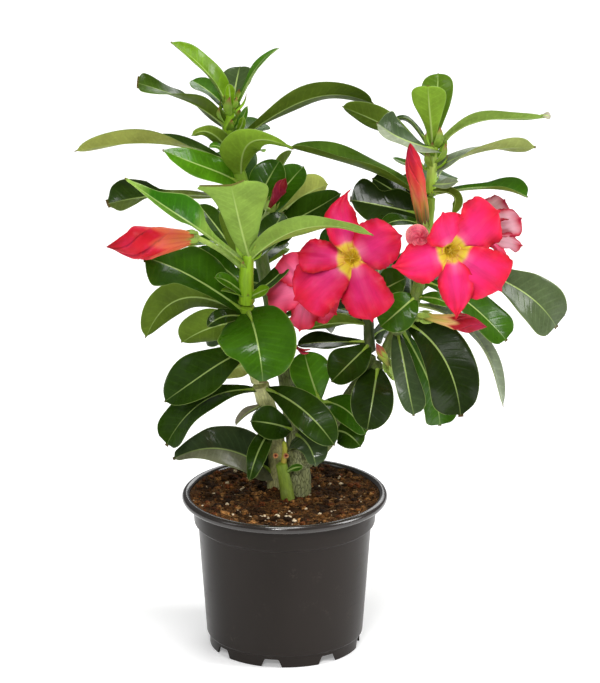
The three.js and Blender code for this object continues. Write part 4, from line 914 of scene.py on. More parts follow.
# A bloom's tone scales its whole colour as painted light and shade, lower for a bloom that stands in less
# light.
BLOOMS = [
    dict(
        tone=0.8, throat=(350, 257, -36), calyx=(361, 268, 2),
        stalk=[(361, 268, 2), (364, 271, 7), (366, 276, 12)], mouth=7.5,
        petals=[
            dict(tip=(334, 191), width=20, lean=4, form=dict(edges=POINTED, lean=0.5, roll=-25)),
            dict(tip=(401, 232), width=27, lean=1, glow=0.35, form=dict(edges=(FULL, FULL))),
            dict(tip=(376, 321), width=28, lean=-2, glow=0.5),
            dict(tip=(296, 304), width=33, lean=0),
            dict(tip=(296, 255), width=20, lean=2),
        ],
    ),
    dict(
        tone=0.95, throat=(453, 252, -50), calyx=(436, 244, -16),
        stalk=[(436, 244, -16), (432, 243, -13), (427, 246, -9)], mouth=7.5,
        petals=[
            dict(tip=(440, 213), width=24, lean=5, glow=0.3, form=dict(edges=(SLIM, FULL))),
            dict(tip=(498, 207), width=31, lean=0),
            dict(tip=(505, 288), width=31, lean=0),
            dict(tip=(459, 319), width=20, lean=-2, glow=0.6, form=dict(edges=POINTED)),
            dict(tip=(392, 270), width=25, lean=-5, form=dict(edges=POINTED)),
        ],
    ),
    dict(
        tone=0.95, pale=0.7, throat=(480, 227, 4), calyx=(444, 233, -4),
        stalk=[(444, 233, -4), (436, 236, -6), (426, 240, -8)], mouth=6.5,
        petals=[
            dict(tip=(507, 201, 4), width=21),
            dict(tip=(523, 220, -9), width=17),
            dict(tip=(523, 247, -3), width=18),
            dict(tip=(507, 254, 16), width=18),
            dict(tip=(510, 222, 26), width=18),
        ],
    ),
    dict(
        tone=1.0, pale=1.0, throat=(306, 288, -6), calyx=(340, 294, 16),
        stalk=[(340, 294, 16), (352, 298, 15), (368, 303, 10)], mouth=7,
        petals=[
            dict(tip=(281, 256), width=20, lean=2),
            dict(tip=(330, 252), width=22, lean=2),
            dict(tip=(338, 312), width=24, lean=2),
            dict(tip=(301, 332), width=24, lean=2),
            dict(tip=(266, 298), width=27, lean=2),
        ],
    ),
]


def place_on(pixel, point, normal):
    """The point on the line of sight through a pixel that lies on the plane through a point."""
    near = place((*pixel, point[1]))
    ray = unit(near - EYE)
    return near + ray * ((point - near) @ normal) / (ray @ normal)


def petal_color(along, across, under, tone, pale, glow):
    """Yellow at the throat in five blunt rays, a pale blush, pink, then red at the margins. The
    underside is paler, and more so in a bloom that's only half open."""
    rim = np.clip(np.maximum(np.abs(across), (along - 0.25) / 0.75), 0, 1)
    rim = rim + 0.04 * np.sin(9 * along + 5 * across)
    face = blend_colors(
        [(0, (222, 40, 118)), (0.5, (222, 26, 92)), (0.8, (218, 12, 56)), (1, (190, 4, 26))], rim,
    )
    back = blend_colors(
        [(0, (240, 160, 180)), (0.6, (234, 112, 138)), (0.86, (206, 40, 66)), (1, (150, 6, 26))],
        rim,
    )
    back = back + (linear((250, 214, 224)) - back) * (pale * np.clip(3 - 3.4 * rim, 0, 1))[:, None]
    # tone darkens or lightens the whole bloom as painted light and shade.
    tint = (face + (back - face) * under[:, None]) * tone
    tint = tint + (linear((236, 150, 176)) - tint) * 0.5 * pale * (1 - rim)[:, None].clip(0, 1)
    ray = 0.5 + 0.5 * np.cos(4.4 * across + 0.6)
    blush = np.clip(1.5 - along / 0.2, 0, 1) * ray
    tint = tint + (linear((248, 178, 200)) - tint) * (0.22 * blush)[:, None]
    gold = np.clip((0.14 * glow + 0.03 * ray - along) / 0.05, 0, 1)[:, None]
    lines = np.clip(np.cos(9 * across) * 4 - 2.6, 0, 1) * np.clip(1.4 - along / 0.12, 0, 1)
    throat = blend_colors([(0, (192, 158, 28)), (0.08, (202, 174, 36)), (0.2, (212, 196, 90))], along)
    throat = throat + (linear((168, 62, 36)) - throat) * (0.4 * lines)[:, None]
    return tint + (throat - tint) * gold


def funnel_color(along, around):
    """Pinkish outside with a green foot, and a golden throat with red lines inside."""
    outside = blend_colors([(0, (170, 180, 90)), (0.3, (228, 150, 120)), (0.5, (232, 110, 130))], along)
    # Inside, the gold grows lighter towards the bottom of the throat, as painted light against the shade
    # deep in the funnel.
    inside = blend_colors([(0.5, (206, 178, 36)), (0.7, (212, 182, 36)), (1, (222, 190, 48))], along)
    lines = np.clip(np.cos(15 * around) * 4 - 2.4, 0, 1) * np.clip((along - 0.5) * 12, 0, 1)
    inside = inside + (linear((160, 80, 30)) - inside) * (0.35 * lines)[:, None]
    return np.where((along < 0.5)[:, None], outside, inside)


def grow_bloom(number, spec):
    """A funnel whose mouth is made by the feet of five skewed petals, with stamens inside."""
    start, throat = place(spec["calyx"]), place(spec["throat"])
    ahead = axis_frame(start, throat)[0]
    length, mouth = np.linalg.norm(throat - start), spec["mouth"]
    skin = Skin()
    outside = [(0, TUBE_RADIUS * 0.8), (length * 0.25, TUBE_RADIUS), (length * 0.5, mouth * FLARE)]
    outside += [(length * 0.8, mouth * 0.78), (length - 3.2, mouth * 0.84)]
    inside = [(length - 3.0, mouth * 0.78), (length - 4.4, mouth * 0.62), (length - 6.8, mouth * 0.44)]
    inside += [(length - 9, mouth * 0.25), (length - 9.5, 0.02)]
    profile = np.vstack([smooth_profile(outside, 24), smooth_profile(inside, 24)])

    def lobes(along, around):
        return 1 + 0.035 * np.cos(5 * around) * np.sin(np.pi * along)

    turned(skin, start, throat, profile, 60, lobes, funnel_color)
    for petal in spec["petals"]:
        tip = petal["tip"]
        tip = place_on(tip, throat + ahead * petal["lean"], ahead) if len(tip) == 2 else place(tip)
        out = tip - throat
        out = unit(out - ahead * (out @ ahead))
        base = throat + out * mouth * 0.56 - ahead * 3.4
        middle = (base + tip) / 2 + ahead * 2.6
        form = dict(roll=-8, fold=-4, edges=SQUARE, lean=0.08, pleat=0.6)
        form.update(petal.get("form", {}))
        blade(
            skin, base, middle, tip, petal["width"] * 1.12, None, thick=PETAL * 0.7, root=3.4,
            toward=ahead, up=np.cross(ahead, out), rows=48, wave=0.06 * petal["width"], waves=2.7,
            rib=0.25, point=0.04, ragged=0.035,
            color=lambda *spot: petal_color(*spot, spec["tone"], spec.get("pale", 0), petal.get("glow", 1)),
            **form,
        )
    name = f"bloom_{number}"
    skin.piece(f"{name}_petals", PETALS, "petal", [f"{name}_corolla"], sharp=60)
    stamens(name, start, throat, length, mouth)
    grow_calyx(name, start, throat, spec["stalk"], TUBE_RADIUS)


def stamens(name, start, throat, length, mouth):
    """A cone of anthers deep in the throat, with five threads that reach its mouth."""
    skin = Skin()
    ahead, right, over = axis_frame(start, throat)
    cone = smooth_profile(
        [(length - 9.6, 0.3), (length - 8.6, 1.3), (length - 6.2, 0.8), (length - 4.2, 0.12)], 16,
    )

    def cream(along, around):
        return blend_colors([(0, (200, 172, 44)), (0.6, (206, 180, 56)), (1, (200, 172, 56))], along)

    turned(skin, start, throat, cone, 30, lambda a, r: 1 + 0.16 * np.cos(5 * r), cream)
    for k in range(5):
        angle = 2 * np.pi * k / 5 + 0.4
        out = right * math.cos(angle) + over * math.sin(angle)
        path = [
            start + ahead * (length - 5) + out * 0.3,
            start + ahead * (length - 2.6) + out * mouth * 0.2,
            start + ahead * (length - 0.6) + out * mouth * 0.44,
        ]
        tube(
            skin, path, [0.26, 0.22, 0.14], ((206, 180, 52), (200, 170, 52)), (0, 0), sides=8,
            spacing=0.8, scars=99,
        )
    skin.piece(f"{name}_stamens", CALYX, "calyx")


def grow_calyx(name, start, end, stalk, tube_radius):
    """Five pointed sepals round the foot of a corolla, on a stalk that ends in the shoot."""
    skin = Skin()
    ahead, right, over = axis_frame(start, end)
    rim = tube_radius + 1.3

    def green(along, around):
        return blend_colors([(0, (128, 156, 56)), (1, (158, 182, 84))], along)

    knob = smooth_profile(
        [
            (-2.6, 0.3), (-1.6, 1.8), (-0.2, tube_radius + 0.5), (1.4, tube_radius + 0.75),
            (1.9, tube_radius + 0.3),
        ],
        14,
    )
    turned(skin, start, end, knob, 30, lambda a, r: 1 + 0.04 * np.cos(5 * r), green)
    for k in range(5):
        angle = 2 * np.pi * k / 5
        out = right * math.cos(angle) + over * math.sin(angle)
        base = start + out * (tube_radius + 0.2) - ahead * 1.2
        middle = start + out * (rim - 0.1) + ahead * 3
        tip = start + out * (rim + 0.5) + ahead * 7.6
        tones = ((150, 176, 76), (136, 164, 62))
        scale_leaf(skin, (base, middle, tip), 4.2, out, ahead, tones, fold=-24, widest=0.8, rows=12)
    line = [place(p) for p in stalk]
    tube(skin, line, [1.6, 1.9], ((150, 176, 76), (118, 148, 58)), (0, 0), sides=16, spacing=0.9, scars=99)
    skin.piece(f"{name}_calyx", CALYX, "calyx", [f"{name}_stalk"])


# ---------------------------------------------------------------- buds

# A bud's outline between its foot and its tip, as shares of its length and of half its girth.
SLENDER = [(0.18, 0.46), (0.42, 0.74), (0.62, 1), (0.78, 0.86), (0.9, 0.42), (0.96, 0.17)]

BUDS = [
    dict(
        foot=(196, 237, -22), tip=(106, 247, -36), girth=20.5,
        body=[(0.08, 0.44), (0.28, 0.73), (0.42, 0.88), (0.6, 1), (0.7, 0.94), (0.8, 0.62), (0.9, 0.28)],
        stalk=[(196, 237, -22), (222, 251, -14), (247, 272, -8)],
        colors=[
            (0, (170, 150, 70)), (0.1, (212, 118, 66)), (0.4, (216, 92, 62)), (0.5, (200, 18, 38)),
            (0.8, (192, 8, 30)), (1, (140, 4, 20)),
        ],
    ),
    dict(
        foot=(269, 209, 18), tip=(286, 178, 12), girth=8, body=SLENDER,
        stalk=[(269, 209, 18), (264, 219, 26), (256, 231, 39)],
        colors=[(0, (110, 60, 30)), (0.3, (132, 4, 10)), (1, (104, 2, 6))],
    ),
    dict(
        foot=(424, 226, -21), tip=(410, 143, -34), girth=10.6,
        body=[(0.06, 0.7), (0.2, 0.86), (0.42, 0.94), (0.6, 1), (0.74, 0.92), (0.87, 0.66), (0.95, 0.34)],
        stalk=[(424, 226, -21), (428, 233, -16), (427, 239, -9)],
        colors=[
            (0, (44, 56, 20)), (0.16, (96, 100, 38)), (0.3, (184, 134, 62)), (0.5, (210, 84, 60)),
            (0.7, (200, 30, 42)), (0.86, (170, 8, 30)), (1, (140, 4, 20)),
        ],
    ),
    dict(
        foot=(413, 234, -32), tip=(420, 237, -54), twist=4.5, girth=13.5,
        body=[(0.1, 0.6), (0.3, 0.85), (0.5, 1), (0.7, 0.98), (0.85, 0.82), (0.94, 0.5)],
        stalk=[(413, 234, -32), (415, 246, -23), (424, 257, -10)],
        colors=[(0, (150, 170, 90)), (0.3, (236, 176, 160)), (0.7, (226, 104, 118)), (1, (170, 20, 46))],
    ),
    dict(
        foot=(421, 316, -26), tip=(487, 327, -42), girth=11, body=SLENDER,
        stalk=[(421, 316, -26), (418, 319, -21), (408, 314, -10)],
        colors=[
            (0, (140, 160, 62)), (0.3, (190, 176, 84)), (0.46, (222, 176, 110)), (0.56, (170, 16, 34)),
            (1, (140, 4, 20)),
        ],
    ),
    dict(
        foot=(392, 371, -22), tip=(376, 343, -30), girth=5.6, body=SLENDER,
        stalk=[(392, 371, -22), (394, 378, -19), (388, 370, -11), (387, 352, -5)],
        colors=[(0, (110, 142, 46)), (0.6, (134, 156, 54)), (0.8, (150, 80, 46)), (1, (124, 30, 26))],
    ),
]
BUD_TWIST = 1.6
BUD_RIDGE = 0.1


def grow_bud(number, spec):
    """A furled bud: five petals wound round each other, each over the next one's edge."""
    foot, tip = place(spec["foot"]), place(spec["tip"])
    length, fat = np.linalg.norm(tip - foot), spec["girth"] / 2
    outline = [
        (0, TUBE_RADIUS * 0.8), *((length * at, fat * out) for at, out in spec["body"]),
        (length, 0.1),
    ]
    turns = 2.6 * spec.get("twist", BUD_TWIST)

    def wound(along, around):
        return (5 * (around - turns * np.clip(along - 0.25, 0, 1)) / (2 * np.pi)) % 1

    def shape(along, around):
        step = wound(along, around)
        open_up = np.clip((along - 0.25) * 3, 0, 1)
        return 1 + BUD_RIDGE * open_up * (1 - 2.2 * step**0.8) + 0.03 * (1 - open_up) * np.cos(5 * around)

    def color(along, around):
        step = wound(along, around)
        tint = blend_colors(spec["colors"], np.clip(along + 0.07 * np.sin(5 * around), 0, 1))
        open_up = np.clip((along - 0.25) * 3, 0, 1)
        # Painted shade darkens each petal where it tucks under the next one, and a painted highlight
        # lightens each petal's lapping edge.
        shadow = open_up * np.clip((step - 0.86) / 0.14, 0, 1)
        bright = open_up * np.clip(1 - step / 0.16, 0, 1)
        stripes = 0.5 * (1 - open_up) * np.clip(np.cos(15 * around + 2 * np.sin(5 * along)) * 2 - 0.9, 0, 1)
        tint = tint * (1 - 0.55 * shadow)[:, None]
        tint = tint + (linear((190, 56, 50)) - tint) * (stripes * np.clip(along * 8, 0, 1))[:, None]
        return tint + (linear((226, 64, 80)) - tint) * (0.25 * bright)[:, None]

    skin = Skin()
    turned(skin, foot, tip, smooth_profile(outline, 60), 80, shape, color)
    name = f"bud_{number}"
    skin.piece(f"{name}_petals", PETALS, "bud_petal", [f"{name}_corolla"], sharp=60)
    grow_calyx(name, foot, tip, spec["stalk"], max(TUBE_RADIUS * 0.8, spec["girth"] * 0.12))


# ---------------------------------------------------------------- pot


def arc(cx, cz, radius, start, end, count):
    angles = np.radians(np.linspace(start, end, count))
    return [(cx + radius * math.cos(a), cz + radius * math.sin(a)) for a in angles]


def eased(points, radius=0.7, steps=4):
    """An outline whose inner corners are rounded."""
    points = [np.array(p, float) for p in points]
    out = [points[0]]
    for before, corner, after in zip(points, points[1:], points[2:]):
        into, away = before - corner, after - corner
        reach = min(radius, np.linalg.norm(into) * 0.45, np.linalg.norm(away) * 0.45)
        a, b = corner + unit(into) * reach, corner + unit(away) * reach
        for t in np.linspace(0, 1, steps):
            out.append((1 - t) ** 2 * a + 2 * t * (1 - t) * corner + t * t * b)
    return [*out, points[-1]]


def pot_profile():
    p, wall = POT, POT["wall"]
    lip_middle = p["height"] - p["lip_round"]
    foot_radius, under = p["collar_radius"] - p["collar_round"], p["collar_foot"] - p["collar_slope"]
    outside = eased(
        [
            (0.01, 0), (p["floor_radius"], 0), (p["floor_radius"] + 3, p["floor_rise"]),
            (p["skirt_radius"] - wall, p["floor_rise"]), (p["skirt_radius"] - wall, 0),
            (p["skirt_radius"], 0), (p["skirt_radius"], p["skirt_height"]),
            (p["body_foot"], p["skirt_height"] + wall), (p["body_top"], under),
            (foot_radius, p["collar_foot"]), (p["collar_radius"], lip_middle - p["lip_round"]),
        ]
    )
    lip = arc(p["lip_radius"], lip_middle, p["lip_round"], -110, 170, 26)
    inside = eased(
        [
            (p["lip_radius"] - p["lip_round"] - 0.3, lip_middle - 1.4),
            (p["collar_radius"] - wall, lip_middle - 5), (foot_radius - wall, p["collar_foot"]),
            (p["body_top"] - wall, under), (p["body_foot"] - wall, p["skirt_height"] + 2 * wall),
            (p["floor_radius"] + 4, p["floor_rise"] + 2 * wall), (p["floor_radius"] + 1, wall),
            (0.01, wall),
        ]
    )
    return [*outside, *lip, *inside]


def lathe(profile, sides):
    turn = np.linspace(0, 2 * np.pi, sides, endpoint=False)
    points = [(r * math.cos(a), r * math.sin(a), z) for r, z in profile for a in turn]
    return points, loft_faces(len(profile), sides)


def plain_object(name, points, faces):
    mesh = bpy.data.meshes.new(name)
    mesh.from_pydata((np.array(points) * MM).tolist(), [], faces)
    turn_outwards(mesh)
    tool = bpy.data.objects.new(name, mesh)
    bpy.context.scene.collection.objects.link(tool)
    return tool


def notch_tools():
    """The gates through the skirt and the drain holes behind them, as one cutting shape."""
    points, faces = [], []

    def add(ring, move):
        start, count = len(points), len(ring)
        points.extend(ring)
        points.extend([tuple(np.add(p, move)) for p in ring])
        for j in range(count):
            faces.append(
                (start + j, start + (j + 1) % count, start + count + (j + 1) % count, start + count + j),
            )
        faces.append(tuple(range(start, start + count))[::-1])
        faces.append(tuple(range(start + count, start + 2 * count)))

    half, slant, high = NOTCH["width"] / 2, NOTCH["shoulder"], NOTCH["height"]
    arch = eased(
        [
            (half + 2.4, -slant), (half + 1.6, 0.6), (half - 0.4, high - 1), (0.4 - half, high - 1),
            (-half - 1.6, 0.6), (-half - 2.4, -slant),
        ],
        1.0,
    )
    for k in range(NOTCH["count"]):
        turn = math.radians(NOTCH["first"] + 360 / NOTCH["count"] * k)
        out = np.array([math.sin(turn), -math.cos(turn), 0])
        side = np.array([math.cos(turn), math.sin(turn), 0])
        near = out * (POT["skirt_radius"] - NOTCH["depth"] / 2)
        add([tuple(near + side * x + np.array([0, 0, z])) for x, z in arch], out * NOTCH["depth"])
        middle = out * NOTCH["hole_at"] + np.array([0, 0, POT["skirt_height"] - 4])
        ring = [
            middle + NOTCH["hole_radius"] * (side * math.cos(a) + out * math.sin(a))
            for a in np.linspace(0, 2 * np.pi, 20, endpoint=False)
        ]
        add([tuple(p) for p in ring], np.array([0, 0, 8]))
    return plain_object("notch_tools", points, faces)


def make_pot():
    body = plain_object("pot_blank", *lathe(pot_profile(), 160))
    tools = notch_tools()
    cutter = body.modifiers.new("notches", "BOOLEAN")
    cutter.operation, cutter.object, cutter.solver = "DIFFERENCE", tools, "EXACT"
    bpy.context.view_layer.update()
    mesh = bpy.data.meshes.new_from_object(body.evaluated_get(bpy.context.evaluated_depsgraph_get()))
    for used in (body, tools):
        bpy.data.objects.remove(used)
    return finished("nursery_pot", mesh, PLASTIC, ["pot"], sharp=35)


# ---------------------------------------------------------------- soil


def ground(x, y):
    """Height of the crumbly ground: a low mound, clods and grains, drawn up where the wall is."""
    out = math.hypot(x, y) / POT["collar_radius"]
    mound = SOIL_MOUND * (1 - out) + 2.2 * max(0, out * 3 - 2) ** 2
    clods = noise.noise(Vector((x / 9, y / 9, 0.3))) + 0.6 * noise.noise(Vector((x / 4, y / 4, 2.1)))
    grains = 0.4 * noise.noise(Vector((x / 1.7, y / 1.7, 5.0)))
    return SOIL_LEVEL + SOIL_LIFT + mound + 1.3 * clods + grains


def make_soil():
    wall = POT["wall"] + 0.3
    edge = POT["collar_radius"] - wall
    below = [
        (0.01, POT["wall"] + 0.3), (POT["floor_radius"] + 0.5, POT["wall"] + 0.3),
        (POT["floor_radius"] + 3.4, POT["floor_rise"] + 2 * POT["wall"] + 0.3),
        (POT["body_foot"] - wall, POT["skirt_height"] + 2 * POT["wall"] + 0.6),
        (POT["body_top"] - wall, POT["collar_foot"] - 1.5), (edge - 1, POT["collar_foot"] + 0.2),
        (edge - 0.1, SOIL_LEVEL - 1.6),
    ]
    rings = [(edge, SOIL_LEVEL - 0.6), *((r, None) for r in np.linspace(edge + 3.4, 0.01, 66))]
    sides = 150
    points = []
    for r, z in [*below, *rings]:
        for k in range(sides):
            a = 2 * math.pi * k / sides
            x, y = r * math.cos(a), r * math.sin(a)
            points.append((x, y, ground(x, y) if z is None else z))
    skin = Skin()
    brown = linear((84, 55, 26))
    skin.add(points, loft_faces(len(below) + len(rings), sides), tint=brown)
    skin.piece("peat_ground", PEAT, "potting_soil", ["soil"], sharp=80)


ICO_POINTS = []
ICO_FACES = []


def lump(skin, middle, size, rough, tint, rng):
    """One crumb: a small ball pushed out of shape and flattened a little."""
    if not ICO_POINTS:
        ball = bmesh.new()
        bmesh.ops.create_icosphere(ball, subdivisions=2, radius=1)
        ICO_POINTS.extend(np.array(v.co) for v in ball.verts)
        ICO_FACES.extend(tuple(v.index for v in f.verts) for f in ball.faces)
        ball.free()
    seed = rng.uniform(0, 100)
    squash = np.array([rng.uniform(0.8, 1.3), rng.uniform(0.8, 1.3), rng.uniform(0.55, 0.9)])
    turn = rng.uniform(0, 2 * math.pi)
    c, s = math.cos(turn), math.sin(turn)
    points = []
    for p in ICO_POINTS:
        grow = 1 + rough * noise.noise(Vector(p * 1.6) + Vector((seed, 0, 0)))
        q = p * grow * squash * size
        points.append(middle + np.array([c * q[0] - s * q[1], s * q[0] + c * q[1], q[2]]))
    skin.add(points, ICO_FACES, tint=tint)


def scatter(rng, margin):
    """A spot on the ground, clear of the pot's wall and of the stems."""
    stems = [(place(s["path"][0]), s["radii"][0]) for s in (FRONT_TRUNK, BACK_TRUNK, STUB)]
    while True:
        r = (POT["collar_radius"] + 1.4 - margin) * math.sqrt(rng.random())
        a = rng.uniform(0, 2 * math.pi)
        x, y = r * math.cos(a), r * math.sin(a)
        if all(math.hypot(x - p[0], y - p[1]) > radius + margin * 0.2 for p, radius in stems):
            return x, y


def make_crumbs():
    rng = random.Random(5)
    browns = [(88, 56, 25), (60, 37, 17), (114, 74, 36), (42, 26, 13), (146, 102, 56), (104, 56, 27)]
    skin = Skin()
    for k in range(CRUMB_COUNT):
        size = 0.35 + 2.0 * rng.random() ** 4
        x, y = scatter(rng, size)
        z = ground(x, y) + size * rng.uniform(-0.2, 0.35)
        lump(skin, np.array([x, y, z]), size, 0.55, linear(rng.choice(browns)), rng)
    skin.piece("peat_crumbs", PEAT, "potting_soil", sharp=80)

    threads = Skin()
    for k in range(FIBRE_COUNT):
        x, y = scatter(rng, 2.5)
        turn, long = rng.uniform(0, 2 * math.pi), rng.uniform(2.5, 8.5)
        step = np.array([math.cos(turn), math.sin(turn), 0]) * long / 2
        bow = np.array([-step[1], step[0], 0]) * rng.uniform(-0.5, 0.5)
        middle = np.array([x, y, 0.0])
        line = []
        for q in (middle - step, middle + bow, middle + step):
            reach = math.hypot(q[0], q[1])
            if reach > POT["collar_radius"] - 1:
                q = q * (POT["collar_radius"] - 1) / reach
            line.append(np.array([q[0], q[1], ground(q[0], q[1]) + rng.uniform(0.1, 1.1)]))
        brown = rng.choice([(116, 84, 50), (88, 62, 38), (142, 110, 68), (60, 42, 28)])
        thin = rng.uniform(0.12, 0.34)
        tube(
            threads, line, [thin, thin * 0.9, thin * 0.5], (brown, brown), (0, 0), sides=6,
            spacing=1.2, scars=99,
        )
    threads.piece("peat_fibres", PEAT, "potting_soil", sharp=80)

    grit = Skin()
    spots = [(scatter(rng, 1.2), 0.35 + 1.0 * rng.random() ** 2.5) for k in range(PERLITE_COUNT)]
    patch = place(PERLITE_PATCH)
    spots += [
        ((rng.gauss(patch[0], 9), rng.gauss(patch[1], 6)), 0.4 + 1.1 * rng.random() ** 2)
        for k in range(PATCH_COUNT)
    ]
    for (x, y), size in spots:
        z = ground(x, y) + size * 0.35
        lump(grit, np.array([x, y, z]), size, 0.5, 1.0, rng)
    grit.piece("perlite", PERLITE, "potting_soil", sharp=80)


# ---------------------------------------------------------------- the plant


PETIOLE = (146, 176, 62)
BRACT = ((144, 184, 50), (132, 168, 54))


def petiole(skin, base, mid, tip, width):
    """The thick stalk that a leaf stands on, which thins out into its midrib."""
    bend = 2 * mid - 0.5 * base - 0.5 * tip
    reach = min(0.24, 12 / np.linalg.norm(tip - base))
    line = [(1 - t) ** 2 * base + 2 * t * (1 - t) * bend + t * t * tip for t in np.linspace(0, reach, 4)]
    thick = min(1.5, 0.55 + 0.03 * width)
    tube(
        skin, line, [1.25 * thick, thick, 0.7 * thick, 0.3 * thick], (PETIOLE, PETIOLE), (0, 0),
        sides=12, scars=99,
    )


def bract_color(along, across, under):
    """Green, with a red-brown point."""
    green = linear(BRACT[0]) + (linear(BRACT[1]) - linear(BRACT[0])) * under[:, None]
    return green + (linear((134, 60, 36)) - green) * np.clip(along * 3 - 1.9, 0, 1)[:, None]


def grow_bracts(skin, spec, rng, count, reach, size):
    """Narrow pointed scales round the last stretch of a stem, closer together at its tip."""
    points, length = spline([place(p) for p in spec["path"]], 60)
    tangent, first, second = frames(points)
    for k in range(count):
        back = reach * (k / count) ** 1.3
        i = max(0, int(59 * (1 - back / length)))
        turn = 2.4 * k + rng.uniform(-0.3, 0.3)
        out = first[i] * math.cos(turn) + second[i] * math.sin(turn)
        radius = np.interp(i / 59 * (len(spec["radii"]) - 1), range(len(spec["radii"])), spec["radii"])
        long = size * rng.uniform(0.7, 1.2)
        open_up = 0.25 + 0.5 * k / count
        base = points[i] + out * radius * 0.7
        ahead = unit(tangent[i] + out * open_up)
        line = (base, base + ahead * long * 0.5 + out * 0.12 * long, base + ahead * long)
        form = dict(fold=-20, widest=0.75, rows=10, color=bract_color)
        scale_leaf(skin, line, long * 0.44, out, tangent[i], None, **form)


def leafy(name, stem_spec, leaves, node, bracts=0):
    stem_skin, leaf_skin = Skin(), Skin()
    grow_stem(stem_skin, stem_spec)
    for spec in leaves:
        base, mid, tip = grow_leaf(leaf_skin, spec)
        petiole(stem_skin, base, mid, tip, spec["width"])
    stem_skin.piece(f"{name}_stem", BARK, "bark")
    slot = "young_leaf" if "tip" in node else "mature_leaf"
    leaf_skin.piece(f"{name}_leaves", LEAF, slot, [node])
    if bracts:
        scales = Skin()
        rng = random.Random(name)
        grow_bracts(scales, stem_spec, rng, bracts, reach=17, size=13.5)
        grow_bracts(scales, stem_spec, rng, count=10, reach=70, size=3.4)
        scales.piece(f"{name}_bracts", CALYX, "young_leaf")


WITHERED = [
    [(294, 337, 0), (296, 347, -3), (304, 350, -5), (311, 349, -6)],
    [(297, 348, -4), (303, 353, -6), (309, 353, -6)],
]
STUB_SCARS = [(275.6, 455.7, -4.5), (286, 455.7, -4.5)]


def scar(skin, middle):
    """A round cream pad with a dark red middle, where a shoot was cut off."""
    out = unit(TO_EYE + np.array([0, 0, 0.3]))
    ring = smooth_profile([(-3, 1.4), (-0.6, 1.8), (0.2, 1.7), (0.5, 1.0), (0.45, 0.6), (0.1, 0.1)], 20)

    def color(along, around):
        return blend_colors(
            [(0, (150, 160, 80)), (0.5, (206, 176, 116)), (0.78, (190, 120, 70)), (0.88, (96, 14, 4))],
            along,
        )

    turned(skin, middle, middle + out, ring, 24, lambda along, around: 1 + 0.06 * np.cos(3 * around), color)


def make_plant():
    front = Skin()
    grow_stem(front, FRONT_TRUNK, rooted=True)
    front.piece("front_trunk", BARK, "bark", ["trunk_front"])

    back = Skin()
    grow_stem(back, BACK_TRUNK, rooted=True)
    for limb in (LEFT_BRANCH, RIGHT_BRANCH, FORK_MIDDLE, FORK_RIGHT):
        grow_stem(back, limb)
    back.piece("back_trunk", BARK, "bark", ["trunk_back"])

    stub = Skin()
    grow_stem(stub, STUB, rooted=True)
    grow_stem(stub, PEG, sides=14)
    for pixel in STUB_SCARS:
        scar(stub, place(pixel))
    stub.piece("cut_stub_bark", BARK, "bark", ["cut_stub"])
    sprout = Skin()
    grow_leaf(sprout, STUB_LEAF)
    sprout.piece("cut_stub_leaf", LEAF, "mature_leaf")

    leafy("front", FRONT_SHOOT, FRONT_LEAVES, "shoot_front")
    leafy("front_tip", FRONT_TIP, FRONT_TIP_LEAVES, "shoot_front_tip", bracts=7)
    leafy("left", LEFT_SHOOT, LEFT_LEAVES, "shoot_left")
    leafy("left_tip", LEFT_TIP, LEFT_TIP_LEAVES, "shoot_left_tip", bracts=16)
    leafy("middle", MIDDLE_SHOOT, MIDDLE_LEAVES, "shoot_middle")
    leafy("side", SIDE_SHOOT, SIDE_LEAVES, "shoot_side")
    leafy("right", RIGHT_SHOOT, RIGHT_LEAVES, "shoot_right")
    leafy("right_tip", RIGHT_TIP, RIGHT_TIP_LEAVES, "shoot_right_tip", bracts=14)

    shreds = Skin()
    for path in WITHERED:
        tube(
            shreds, [place(p) for p in path], [0.5, 1.1, 0.9, 0.4], ((120, 20, 30), (178, 36, 44)),
            (0, 0), sides=10,
        )
    shreds.piece("withered_petal", PETALS, "petal")

    stalks = Skin()
    for k, spec in enumerate(LOW_LEAVES, 1):
        low = Skin()
        base, mid, tip = grow_leaf(low, spec)
        petiole(stalks, base, mid, tip, spec["width"])
        low.piece(f"low_leaf_{k}", LEAF, "mature_leaf", [f"leaf_low_{k}"])
    stalks.piece("low_leaf_stalks", BARK, "bark")
    for k, spec in enumerate(BLOOMS, 1):
        grow_bloom(k, spec)
    for k, spec in enumerate(BUDS, 1):
        grow_bud(k, spec)


# ---------------------------------------------------------------- studio


def softbox(name, position, size, power, color=(1, 1, 1)):
    light = bpy.data.lights.new(name, "AREA")
    light.shape, light.size, light.size_y = "RECTANGLE", *size
    light.energy, light.color = power, color
    lamp = bpy.data.objects.new(name, light)
    bpy.context.scene.collection.objects.link(lamp)
    lamp.location = position
    aim = Vector((0, 0, 0.2)) - Vector(position)
    lamp.rotation_euler = aim.to_track_quat("-Z", "Y").to_euler()


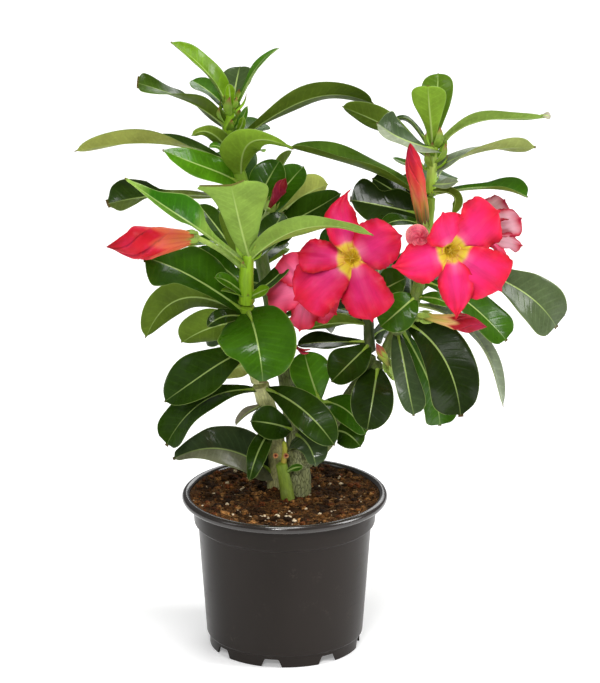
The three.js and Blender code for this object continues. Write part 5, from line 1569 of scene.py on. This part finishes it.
def make_studio():
    scene = bpy.context.scene
    bpy.ops.mesh.primitive_plane_add(size=40, location=(0, 0, 0))
    floor = bpy.context.object
    floor.name = "floor"
    g = Graph("floor")
    tone = g.mix(g.ramp(g.noise(2, 2), 0.3, 0.7), (0.9, 0.9, 0.9), (0.92, 0.92, 0.92))
    glow = dict(Emission_Color=(1, 1, 1), Emission_Strength=0.26)
    floor.data.materials.append(g.finish(Base_Color=tone, Roughness=0.9, **glow))

    world = bpy.data.worlds.new("studio")
    scene.world = world
    world.use_nodes = True
    tree = world.node_tree
    tree.nodes.clear()
    output = tree.nodes.new("ShaderNodeOutputWorld")
    path = tree.nodes.new("ShaderNodeLightPath")
    mix = tree.nodes.new("ShaderNodeMixShader")
    soft = tree.nodes.new("ShaderNodeBackground")
    seen = tree.nodes.new("ShaderNodeBackground")
    soft.inputs["Strength"].default_value = WORLD_STRENGTH
    seen.inputs["Color"].default_value = (1, 1, 1, 1)
    soft.inputs["Color"].default_value = (1, 1, 1, 1)
    tree.links.new(path.outputs["Is Camera Ray"], mix.inputs[0])
    tree.links.new(soft.outputs[0], mix.inputs[1])
    tree.links.new(seen.outputs[0], mix.inputs[2])
    tree.links.new(mix.outputs[0], output.inputs["Surface"])

    softbox("left", (-1.7, -0.6, 1.5), (0.5, 1.0), 4)
    softbox("right", (1.75, -0.25, 1.3), (0.7, 1.2), 30)
    softbox("front", (-0.35, -2.5, 1.8), (0.5, 0.6), 30)
    softbox("over", (0, -0.4, 2.2), (0.8, 0.8), 28)
    softbox("back", (0.5, 1.8, 1.3), (1.4, 1.0), 14)

    camera = bpy.data.objects.new("camera", bpy.data.cameras.new("camera"))
    scene.collection.objects.link(camera)
    scene.camera = camera
    camera.data.sensor_width = 36
    camera.data.lens = camera.data.sensor_width * FOCAL / max(PHOTO_SIZE)
    camera.data.clip_end = 100
    camera.location = EYE * MM
    camera.rotation_euler = (math.pi / 2 - ELEVATION, 0, 0)
    scene.view_settings.view_transform = "Standard"


make_pot()
make_soil()
make_crumbs()
make_plant()
make_studio()
